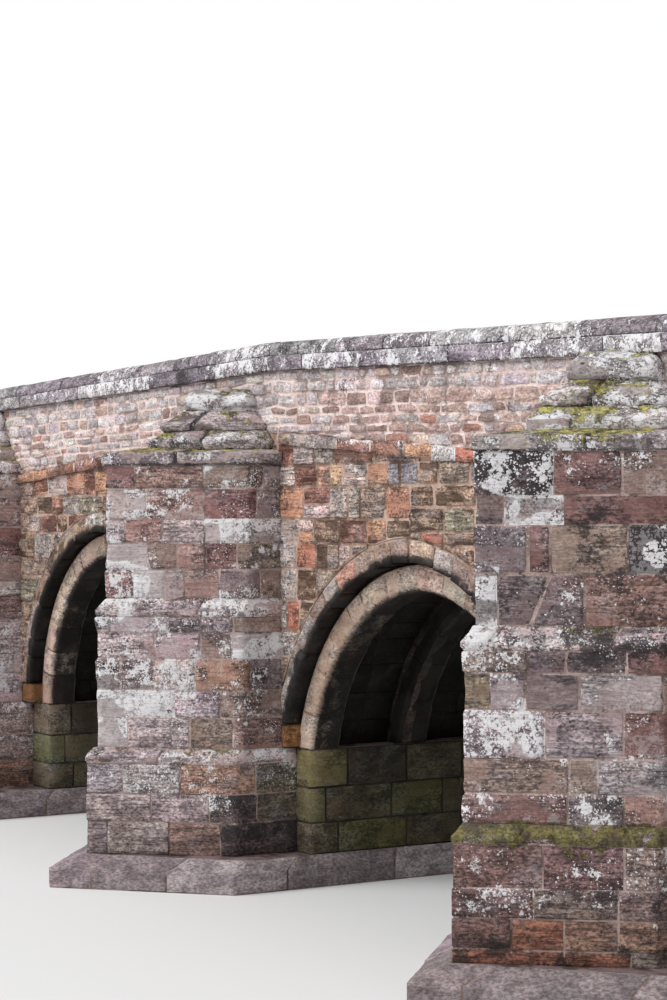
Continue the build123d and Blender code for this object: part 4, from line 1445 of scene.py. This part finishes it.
# %% Make a short way to add shader nodes
class Recipe:
    """A node tree. Each method adds one node, fills or links its sockets, and gives its output."""

    def __init__(self, tree):
        self.tree = tree

    def put(self, value, socket):
        """A socket takes another node's output, a number, a colour or a vector."""
        if isinstance(value, bpy.types.NodeSocket):
            self.tree.links.new(value, socket)
        elif isinstance(value, (int, float)):
            socket.default_value = value
        else:
            socket.default_value = (*map(float, value[:3]), 1.0)[: len(socket.default_value)]

    def add(self, kind, inputs, output=0, **settings):
        node = self.tree.nodes.new("ShaderNode" + kind)
        for name, value in settings.items():
            setattr(node, name, value)
        for slot, value in inputs.items():
            self.put(value, node.inputs[slot])
        return node.outputs if output is None else node.outputs[output]

    def noise(self, place, scale, detail=4.0, roughness=0.55):
        inputs = {"Vector": place, "Scale": scale, "Detail": detail, "Roughness": roughness}
        return self.add("TexNoise", inputs)

    def cells(self, place, scale):
        """The distance to the nearest of many scattered points, and that point's own colour."""
        return self.add("TexVoronoi", {"Vector": place, "Scale": scale}, None)

    def split(self, colour):
        return self.add("SeparateColor", {0: colour}, None)

    def math(self, operation, *values, clamp=False):
        return self.add("Math", dict(enumerate(values)), operation=operation, use_clamp=clamp)

    def times(self, a, b):
        return self.math("MULTIPLY", a, b)

    def plus(self, a, b):
        return self.math("ADD", a, b)

    def minus(self, a, b):
        return self.math("SUBTRACT", a, b)

    def times_plus(self, a, b, c):
        return self.math("MULTIPLY_ADD", a, b, c)

    def ramp(self, value, low, high, to_low=0.0, to_high=1.0):
        """A smooth rise between two values, or a fall if the first is the higher one."""
        inputs = {"Value": value, "From Min": low, "From Max": high, "To Min": to_low, "To Max": to_high}
        return self.add("MapRange", inputs, interpolation_type="SMOOTHSTEP")

    def mix(self, factor, a, b, blend="MIX"):
        return self.add("Mix", {0: factor, 6: a, 7: b}, 2, data_type="RGBA", blend_type=blend)

    def tinted(self, colour, by, factor=1.0):
        return self.mix(factor, colour, by, "MULTIPLY")

    def stretched(self, place, x, y, z):
        return self.add("VectorMath", {0: place, 1: (x, y, z)}, operation="MULTIPLY")

    def group(self, group, **values):
        """Places a finished group in this tree and gives its outputs."""
        return self.add("Group", values, None, node_tree=group)


KINDS = {"Place": "Vector", "Tone": "Color", "Colour": "Color", "Pale": "Color", "Dark": "Color"}


def start_group(name, inputs):
    """A new group as a recipe, with its inputs and their values at rest."""
    group = bpy.data.node_groups.new(name, "ShaderNodeTree")
    for label, value in inputs.items():
        kind = "NodeSocket" + KINDS.get(label, "Float")
        socket = group.interface.new_socket(label, in_out="INPUT", socket_type=kind)
        if value is not None:
            socket.default_value = value
    return Recipe(group), group.nodes.new("NodeGroupInput").outputs


def finish_group(recipe, **results):
    """Gives a group its outputs."""
    for label in results:
        kind = "NodeSocket" + KINDS.get(label, "Float")
        recipe.tree.interface.new_socket(label, in_out="OUTPUT", socket_type=kind)
    outside = recipe.tree.nodes.new("NodeGroupOutput")
    for label, value in results.items():
        recipe.put(value, outside.inputs[label])
    print(f"{recipe.tree.name}: {len(recipe.tree.nodes)} nodes give {', '.join(results)}")
    return recipe.tree


# %% [markdown]
# The face of sandstone is grainy, laid down in thin beds, stained by iron and pitted. One noise
# could stand for all of it, but blotches are a little longer along the bed, the beds are flat
# streaks, and the pits are round. So they are separate textures, mixed one after another, and the
# same ones make the height.

# %% Make the stone's own face
IRON_STAIN = (0.36, 0.18, 0.11)
GREY_STAIN = (0.30, 0.28, 0.295)
# Painted shade in the open beds and in the pits
OPEN_BED_SHADE = (0.05, 0.040, 0.038)
PIT_SHADE = (0.03, 0.024, 0.022)

face, given = start_group("Stone face", dict(Tone=(0.2, 0.15, 0.12, 1), Place=None, Bedding=0.5, Pits=0.5,
                                             Iron=0.3, Mark=0.5, Grain=1.0))
place, tone, grain = given["Place"], given["Tone"], given["Grain"]
laid = face.stretched(place, 0.75, 0.75, 1.4)
blotch = face.noise(laid, 7.0, 5, 0.62)
patches = face.noise(face.stretched(place, 1.0, 1.0, 1.8), 2.6)
crumbs = face.noise(laid, 42.0, 3, 0.68)
layers = face.noise(face.stretched(place, 1.5, 1.5, 22.0), 2.0, 3, 0.70)
clouds = face.mix(face.ramp(blotch, 0.34, 0.66), (0.56, 0.53, 0.55), (1.42, 1.40, 1.38))
colour = face.tinted(tone, clouds, grain)
colour = face.mix(face.times(face.ramp(patches, 0.54, 0.74), given["Iron"]), colour, IRON_STAIN)
colour = face.mix(face.ramp(patches, 0.47, 0.30, 0.0, 0.5), colour, GREY_STAIN)
# the open beds are sunk in the height and darkened as painted shade
line = face.times(face.ramp(layers, 0.48, 0.38), given["Bedding"])
colour = face.mix(face.times(line, 0.6), colour, OPEN_BED_SHADE)
specks = face.mix(face.ramp(crumbs, 0.34, 0.66), (0.45, 0.44, 0.44), (1.52, 1.52, 1.52))
colour = face.tinted(colour, specks, grain)
# the mark is 1 where a flake has come off and left fresh stone, and 0 in a deep hollow, which is darkened as
# painted shade
mark = face.times_plus(face.minus(blotch, 0.5), 0.7, given["Mark"])
fresh = face.ramp(mark, 0.66, 0.76)
hollow = face.ramp(mark, 0.36, 0.14)
colour = face.mix(face.times(fresh, 0.55), colour, face.tinted(tone, (1.34, 1.16, 1.10)))
colour = face.mix(face.times(hollow, 0.75), colour, face.tinted(tone, (0.24, 0.20, 0.18)))
# the pits are sunk in the height and darkened as painted shade
pit = face.ramp(face.cells(place, 34.0)["Distance"], 0.40, 0.14)
hole = face.times(pit, face.ramp(patches, 0.40, 0.56))
hole = face.times(hole, given["Pits"])
colour = face.mix(face.times(hole, 0.75), colour, PIT_SHADE)
height = face.times_plus(blotch, 0.9, face.times(crumbs, 0.5))
for mark_height, depth in ((line, -0.4), (hole, -0.45), (fresh, -0.25)):
    height = face.times_plus(mark_height, depth, height)
STONE_FACE = finish_group(face, Colour=colour, Height=height, Bare=face.math("MAXIMUM", fresh, hollow))

# %% [markdown]
# Lime mortar is pale, sandy and patchy, and here and there it has fallen out and left the joint
# open, and the dark inside an open joint is painted shade. A flat colour would look like paint, so
# it has clouds, grit and open lengths.

# %% Make the mortar
lime, given = start_group("Lime mortar", dict(Pale=(0.5, 0.4, 0.38, 1), Dark=(0.3, 0.2, 0.18, 1), Place=None))
place, pale, dark = given["Place"], given["Pale"], given["Dark"]
cloud = lime.noise(place, 4.0, 4, 0.65)
grit = lime.noise(place, 60.0, 2, 0.7)
open_joint = lime.ramp(lime.noise(place, 2.6, 4, 0.7), 0.52, 0.60, 0.0, 0.75)
colour = lime.mix(lime.ramp(cloud, 0.35, 0.62), dark, pale)
colour = lime.tinted(colour, lime.mix(grit, (0.55, 0.54, 0.54), (1.42, 1.42, 1.42)))
# the dark inside an open joint is painted shade; the joint is also sunk in the height
colour = lime.mix(open_joint, colour, lime.tinted(dark, (0.32, 0.30, 0.30)))
LIME_MORTAR = finish_group(lime, Colour=colour, Height=lime.times_plus(open_joint, -1.5, grit))

# %% [markdown]
# Lichen is a crackled white film with round spots of many sizes. It could be painted by hand, but
# it covers the whole bridge, so it is a threshold on noise: the higher the amount at a place, the
# more it covers. Fine noise is added before the threshold, which gives the torn edges of a film.

# %% Make the lichen
lichen, given = start_group("Lichen", dict(Amount=0.3, Place=None))
place, amount = given["Place"], given["Amount"]
edge = lichen.minus(0.75, lichen.times(amount, 0.34))
cloud = lichen.noise(place, 7.0, 6, 0.62)
crackle = lichen.minus(lichen.noise(place, 60.0, 3, 0.65), 0.5)
film = lichen.ramp(lichen.times_plus(crackle, 0.42, cloud), edge, lichen.plus(edge, 0.02))
film = lichen.times(film, lichen.ramp(lichen.noise(place, 26.0, 3, 0.6), 0.38, 0.45))


def add_spots(scale, reach_scale, lowest, ragged):
    """Round growths of many sizes; more of them where the amount is high."""
    spots = lichen.cells(place, scale)
    chance = lichen.minus(lichen.split(spots["Color"])[0], lichen.minus(lowest, amount))
    ragged_edge = lichen.times(lichen.noise(place, scale * 4, 2, 0.75), ragged)
    reach = lichen.times(chance, reach_scale)
    inside = lichen.minus(reach, lichen.plus(spots["Distance"], ragged_edge))
    return lichen.ramp(inside, -ragged / 2 - 0.03, -ragged / 2 + 0.05)


mask = film
for sizes in ((8.0, 0.62, 1.15, 0.5), (26.0, 0.75, 1.06, 0.6), (68.0, 0.7, 0.90, 0.5)):
    mask = lichen.math("MAXIMUM", mask, add_spots(*sizes), clamp=True)
grey = lichen.ramp(lichen.noise(place, 16.0, 3, 0.70), 0.32, 0.48)
tint = lichen.mix(grey, (0.44, 0.43, 0.43), (0.82, 0.81, 0.83))
LICHEN = finish_group(lichen, Mask=mask, Colour=tint)

# %% [markdown]
# The black crust is a dirty skin that rain can't reach to wash off, and moss is a soft mat on the
# ledges. Both could share the lichen's recipe, but the crust has no spots, and moss has tufts that
# catch the light. So each has its own threshold on noise, and moss gives a height as well.

# %% Make the crust and the moss
crust, given = start_group("Black crust and painted shade", dict(Amount=0.3, Place=None))
place, amount = given["Place"], given["Amount"]
cloud = crust.noise(place, 6.0, 5, 0.70)
crackle = crust.minus(crust.noise(crust.stretched(place, 1.0, 1.0, 1.7), 46.0, 3, 0.7), 0.5)
edge = crust.minus(0.78, crust.times(amount, 0.5))
mask = crust.ramp(crust.times_plus(crackle, 0.55, cloud), edge, crust.plus(edge, 0.07))
CRUST_AND_SHADE = finish_group(crust, Mask=mask)

moss, given = start_group("Moss", dict(Amount=0.3, Fresh=0.4, Place=None))
place, amount = given["Place"], given["Amount"]
cloud = moss.noise(place, 8.0, 5, 0.72)
tuft = moss.noise(place, 52.0, 3, 0.7)
edge = moss.minus(0.86, moss.times(amount, 0.6))
mask = moss.ramp(moss.times_plus(moss.minus(tuft, 0.5), 0.40, cloud), edge, moss.plus(edge, 0.07))
young = moss.times(moss.ramp(moss.noise(place, 9.0, 4, 0.7), 0.40, 0.60), given["Fresh"])
tint = moss.mix(young, (0.068, 0.056, 0.027), (0.50, 0.45, 0.12))
tint = moss.tinted(tint, moss.mix(moss.ramp(tuft, 0.30, 0.70), (0.35, 0.35, 0.35), (1.45, 1.45, 1.45)))
MOSS = finish_group(moss, Mask=mask, Colour=tint, Height=moss.times(mask, moss.plus(tuft, 0.4)))

# %% [markdown]
# One function makes every stone material, and what differs from zone to zone, such as how strongly
# the beds show, are its arguments. Separate node trees could be drawn by hand, but a change to one
# would then be missing in the others.

# %% Describe a stone material
# The crust colour is both real black crust and painted shade under lips, on soffits and along the order's edge
CRUST_AND_SHADE_BLACK = (0.034, 0.029, 0.032)
DAMP = (0.42, 0.40, 0.36)
# painted shade: the tint that the damp mask gives the outer orders and ribs, almost black inside the arches
ARCH_SHADE_TINT = (0.075, 0.075, 0.065)


def start_material(name):
    """A material as a recipe, its shader, and the place on the bridge."""
    material = bpy.data.materials.new(name)
    material.use_nodes = True
    recipe = Recipe(material.node_tree)
    shader = material.node_tree.nodes["Principled BSDF"]
    shader.inputs["Specular IOR Level"].default_value = 0.25
    return material, recipe, shader, recipe.add("TexCoord", {}, "Object")


def finish_material(recipe, shader, colour, roughness, height, distance):
    recipe.put(colour, shader.inputs["Base Color"])
    recipe.put(roughness, shader.inputs["Roughness"])
    bump = recipe.add("Bump", {"Height": height, "Distance": distance, "Strength": 1.0})
    recipe.put(bump, shader.inputs["Normal"])


def mesh_layer(recipe, name):
    return recipe.add("Attribute", {}, None, attribute_name=name)


def stone_material(name, bedding=0.5, pits=0.5, iron=0.25, bump=0.010, joint=None, smear=0.22, darkening_tint=DAMP,
                   fresh=0.4, mossy=False, grain=1.0):
    """joint is the mortar's pale and dark colour; smear is how far it strays over the stones."""
    material, stone, shader, where = start_material(name)
    tone, weather, shift = [mesh_layer(stone, layer) for layer in ("stone_tone", "weather", "stone_place")]
    masks = stone.split(weather["Color"])
    own_place = stone.add("VectorMath", {0: where, 1: shift["Vector"]}, operation="ADD")
    base = stone.group(STONE_FACE, Tone=tone["Color"], Place=own_place, Bedding=bedding, Pits=pits, Iron=iron,
                       Mark=shift["Alpha"], Grain=grain)
    black = stone.group(CRUST_AND_SHADE, Amount=masks[1], Place=where)
    pale = stone.group(LICHEN, Amount=masks[0], Place=where)
    green = stone.group(MOSS, Amount=masks[2], Fresh=fresh, Place=where)
    mortar = stone.group(LIME_MORTAR, Pale=joint[0], Dark=joint[1], Place=where)
    stray = stone.times(stone.minus(stone.noise(where, 9.0, 4, 0.65), 0.5), smear * 4)
    edge = stone.ramp(stone.plus(tone["Alpha"], stray), 0.50, 0.60)
    colour = stone.mix(edge, base["Colour"], mortar["Colour"])
    # the crust mask holds real black crust and painted shade
    colour = stone.mix(stone.times(black["Mask"], 0.82), colour, CRUST_AND_SHADE_BLACK)
    growth = stone.times(pale["Mask"], stone.times_plus(base["Bare"], -0.75, 1.0))
    colour = stone.mix(stone.times(growth, 0.92), colour, pale["Colour"])
    colour = stone.mix(stone.times(green["Mask"], 0.92), colour, green["Colour"])
    # the damp mask holds real damp, and painted shade under the arches and on soffits
    damp = stone.times(weather["Alpha"], stone.ramp(stone.noise(where, 3.0), 0.2, 0.6, 0.7, 1.0))
    colour = stone.mix(damp, colour, stone.tinted(colour, darkening_tint))
    height = stone.times(base["Height"], stone.minus(1.0, edge))
    height = stone.times_plus(mortar["Height"], stone.times(edge, 0.5), height)
    if mossy:
        height = stone.times_plus(green["Height"], 0.6, height)
    finish_material(stone, shader, colour, stone.ramp(damp, 0.0, 1.0, 0.9, 0.65), height, bump)
    return material


print("shared groups:", [group.name for group in bpy.data.node_groups])

# %% [markdown]
# The joints near the water are pinkish, those of the eroded wall are warm, and those of the
# parapet are nearly white. The finishes differ in mortar, bedding, pits and how dark they go when
# damp, and under the arches, where the damp mask holds painted shade. They could be sliders on one
# material, but a finish for each kind of stone is easier to find.

# %% Make the finishes of the stones
PINK_JOINT = (tone_of(186, 166, 160), tone_of(140, 120, 115))
WARM_JOINT = (tone_of(196, 170, 156), tone_of(140, 112, 96))
RUBBLE_JOINT = (tone_of(234, 217, 212), tone_of(214, 188, 180))
# The joints of the vault and the jambs are dark as painted shade
SHADED_JOINT = (tone_of(80, 74, 62), tone_of(44, 40, 34))
GREY_JOINT = (tone_of(104, 98, 100), tone_of(60, 55, 57))
STONE_FINISHES = {
    "pier": stone_material("Weathered pier sandstone", bedding=0.9, pits=0.6, joint=PINK_JOINT, smear=0.18,
                           fresh=0.28, mossy=True),
    "cap": stone_material("Lichened cap stone", bedding=0.5, pits=0.6, iron=0.0, bump=0.014,
                          joint=GREY_JOINT, fresh=0.95, mossy=True),
    "footing": stone_material("Water-worn footing stone", bedding=0.2, pits=0.2, iron=0.1, bump=0.004,
                              joint=PINK_JOINT, smear=0.1, grain=0.75),
    # Under the arches the damp mask holds painted shade, which the order, rib and vault finishes tint almost
    # black and the jamb finish dark green
    "arch": stone_material("Outer order sandstone", bedding=0.35, joint=WARM_JOINT, darkening_tint=ARCH_SHADE_TINT, grain=0.8),
    "rib": stone_material("Rib sandstone", bedding=0.3, pits=0.4, joint=WARM_JOINT, darkening_tint=ARCH_SHADE_TINT, grain=0.8),
    "vault": stone_material("Vault stone in painted shade", bedding=0.3, pits=0.4, joint=SHADED_JOINT,
                            darkening_tint=(0.09, 0.095, 0.07)),
    "jamb": stone_material("Damp jamb stone in painted shade", pits=0.4, joint=SHADED_JOINT, darkening_tint=(0.31, 0.33, 0.24)),
    "spandrel": stone_material("Eroded spandrel sandstone", bedding=0.9, pits=0.9, iron=0.35, bump=0.016,
                               joint=WARM_JOINT, smear=0.26),
    "parapet": stone_material("Parapet rubble", bedding=0.4, iron=0.15, bump=0.012, joint=RUBBLE_JOINT,
                              smear=0.25, grain=0.65),
    "string": stone_material("String course stone", bedding=0.4, joint=RUBBLE_JOINT),
    "coping": stone_material("Coping stone", bedding=0.3, pits=0.3, iron=0.0, joint=GREY_JOINT, smear=0.1),
}
for piece, finish in FINISHES:
    piece.data.materials.clear()
    piece.data.materials.append(STONE_FINISHES[finish])
print("finishes of stone:", len(STONE_FINISHES), "on", len(FINISHES), "pieces")

# %% [markdown]
# What is left of the core shows as mortar in the joints, as fill, and as the road. These surfaces
# have no tones or masks of their own. They could borrow a stone material, but it would find nothing
# to read, so theirs work from the place alone.

# %% Make the mortar and the fill
def mortar_material(name, pale, dark, bump=0.004, darkening_tint=None):
    material, core, shader, where = start_material(name)
    mortar = core.group(LIME_MORTAR, Pale=pale, Dark=dark, Place=where)
    colour = mortar["Colour"]
    if darkening_tint is not None:
        depth = core.ramp(core.add("SeparateXYZ", {0: where}, "Z"), 1.0, 0.2, 0.0, 0.8)
        colour = core.mix(depth, colour, core.tinted(colour, darkening_tint))
    finish_material(core, shader, colour, 0.92, mortar["Height"], bump)
    return material


CORE_FINISHES = {
    "pier": mortar_material("Pier mortar", *PINK_JOINT, darkening_tint=DAMP),
    "wall": mortar_material("Parapet mortar", *RUBBLE_JOINT),
    "spandrel": mortar_material("Spandrel mortar", *WARM_JOINT),
    # the vault's core is dark as painted shade
    "dark": mortar_material("Vault mortar in painted shade", tone_of(40, 38, 32), tone_of(26, 25, 22), darkening_tint=DAMP),
    "coping": mortar_material("Coping core", tone_of(150, 142, 146), tone_of(112, 104, 108), 0.008),
    "footing": mortar_material("Footing joints", tone_of(130, 112, 112), tone_of(96, 80, 80)),
    "fill": mortar_material("Rubble fill", tone_of(150, 124, 110), tone_of(96, 78, 66), 0.02),
}
print("finishes of the core:", len(CORE_FINISHES))

# %% [markdown]
# The road is packed gravel, worn smoother and paler in two wheel tracks, with moss along its
# edges. Pebbles could be scattered as objects, but on a whole bridge they are too small to tell
# apart, so they are the cells of a texture with a little height.

# %% Make the road and hand out the finishes of the core
TRACK_MIDDLE = 0.72


def road_material():
    material, road, shader, where = start_material("Road gravel")
    sway = road.times_plus(road.noise(where, 0.4, 2), 0.5, -0.25)
    across = road.math("ABSOLUTE", road.plus(road.add("SeparateXYZ", {0: where}, "Y"), sway))
    track = road.ramp(road.math("ABSOLUTE", road.minus(across, TRACK_MIDDLE)), 0.34, 0.12)
    verge = road.ramp(road.plus(across, road.times(road.noise(where, 5.0), 0.5)), 1.65, 1.95)
    pebbles = road.cells(where, 38.0)
    bright = road.split(pebbles["Color"])
    clouds = road.ramp(road.noise(where, 3.0, 5, 0.65), 0.35, 0.65)
    earth = road.mix(clouds, tone_of(122, 108, 94), tone_of(158, 142, 126))
    pebble = road.mix(bright[0], tone_of(120, 108, 102), tone_of(206, 196, 186))
    shown = road.times(road.ramp(pebbles["Distance"], 0.42, 0.28), road.ramp(bright[1], 0.35, 0.5))
    colour = road.mix(road.times(shown, road.ramp(track, 0.0, 1.0, 0.9, 0.35)), earth, pebble)
    colour = road.mix(road.times(track, 0.35), colour, tone_of(178, 164, 148))
    green = road.group(MOSS, Amount=0.75, Place=where)
    colour = road.mix(road.times(green["Mask"], verge), colour, green["Colour"])
    height = road.times_plus(shown, 0.6, road.noise(where, 30.0, 3))
    finish_material(road, shader, colour, 0.92, road.times_plus(track, -0.4, height), 0.012)
    return material


CORE_FINISHES["road"] = road_material()
FINISH_OF = {
    "_ribs": "dark", "_vault": "dark", "_fill": "fill", "road_surface": "road", "_parapet": "wall",
    "_string_course": "wall", "_coping": "coping", "_caps": "coping", "_footing": "footing",
    "_spandrel": "spandrel", "_outer_orders": "spandrel",
}
for name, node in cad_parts.items():
    finish = next((finish for ending, finish in FINISH_OF.items() if name.endswith(ending)), "pier")
    node.data.materials.clear()
    node.data.materials.append(CORE_FINISHES[finish])
print("nodes of the core with a finish:", len(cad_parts))

# %% [markdown]
# The stage is a plain pale floor that turns white far away. It could be lit until it is white,
# but the bridge would then be too bright as well. So the far floor is white only for the eye, for
# gloss and for glass, and near the bridge it keeps its colour and the bridge's shadow.

# %% Make the floor
FLOOR_RADIUS = 60
FLOOR_SIDES = 64


def seen_directly(recipe):
    """1 where a ray comes straight from the eye, off gloss or through glass."""
    rays = recipe.add("LightPath", {}, None)
    direct = recipe.math("MAXIMUM", rays["Is Camera Ray"], rays["Is Transmission Ray"])
    return recipe.math("MAXIMUM", direct, rays["Is Glossy Ray"])


floor_mesh = bpy.data.meshes.new("Floor")
angles = np.linspace(0, 2 * math.pi, FLOOR_SIDES + 1)[:-1]
rim = [(FLOOR_RADIUS * math.cos(a), FLOOR_RADIUS * math.sin(a), 0.0) for a in angles]
floor_mesh.from_pydata(rim, [], [list(range(FLOOR_SIDES))])
floor = bpy.data.objects.new("Floor", floor_mesh)
bpy.context.scene.collection.objects.link(floor)
material, pale, shader, where = start_material("Pale floor")
pale.put((0.80, 0.80, 0.80), shader.inputs["Base Color"])
pale.put(1.0, shader.inputs["Roughness"])
pale.put(0.0, shader.inputs["Specular IOR Level"])
far = pale.ramp(pale.add("VectorMath", {0: where}, "Value", operation="LENGTH"), 16.0, 42.0)
share = pale.times(far, seen_directly(pale))
surface = pale.add("MixShader", {0: share, 1: shader.outputs[0], 2: pale.add("Emission", {})})
pale.put(surface, material.node_tree.nodes["Material Output"].inputs["Surface"])
floor_mesh.materials.append(material)
print("floor radius:", FLOOR_RADIUS, "m")

# %% [markdown]
# One large soft sun and an even sky light the bridge. Stronger lamps would show more relief, but a
# plain level of light keeps each colour as it was written.

# %% Light the bridge
SKY_LIGHT = 0.67
SUN_STRENGTH = 2.05
SUN_SIZE = math.radians(50)
SUN_FROM = (-0.2, -1.0, 0.95)

world = bpy.data.worlds.new("Even sky")
bpy.context.scene.world = world
world.use_nodes = True
sky = Recipe(world.node_tree)
background = world.node_tree.nodes["Background"]
sky.put((1, 1, 1), background.inputs["Color"])
sky.put(sky.times_plus(seen_directly(sky), 1 - SKY_LIGHT, SKY_LIGHT), background.inputs["Strength"])

lamp = bpy.data.lights.new("Soft sun", "SUN")
lamp.energy, lamp.angle = SUN_STRENGTH, SUN_SIZE
sun = bpy.data.objects.new("Soft sun", lamp)
bpy.context.scene.collection.objects.link(sun)
sun.rotation_mode = "QUATERNION"
sun.rotation_quaternion = Vector(SUN_FROM).to_track_quat("Z", "Y")
print("sun", SUN_STRENGTH, "and sky", SKY_LIGHT)

# %% [markdown]
# The camera stands where a passer-by would, low over the water, and looks along the bridge. It
# could be turned by eye until the view seems right, but small errors in the turn look like errors
# in the bridge. So it was found by fitting corners of the core to the view.

# %% Place the camera
CAMERA_PLACE = (18.719, -12.356, 3.352)
YAW, PITCH, ROLL = 1.0287, 0.0026, -0.0031

camera_data = bpy.data.cameras.new("Camera")
camera_data.sensor_fit = "VERTICAL"
camera_data.sensor_height = 36.0
camera_data.lens = 83.09
camera_data.clip_end = 400
camera = bpy.data.objects.new("Camera", camera_data)
bpy.context.scene.collection.objects.link(camera)
ahead = Vector((-math.sin(YAW) * math.cos(PITCH), math.cos(YAW) * math.cos(PITCH), math.sin(PITCH)))
level_right = Vector((math.cos(YAW), math.sin(YAW), 0.0))
level_up = level_right.cross(ahead)
right = level_right * math.cos(ROLL) + level_up * math.sin(ROLL)
up = -level_right * math.sin(ROLL) + level_up * math.cos(ROLL)
pose = Matrix((right, up, -ahead)).transposed().to_4x4()
pose.translation = CAMERA_PLACE
camera.matrix_world = pose
bpy.context.scene.camera = camera
bpy.context.scene.view_settings.view_transform = "Standard"
print("camera at", CAMERA_PLACE)
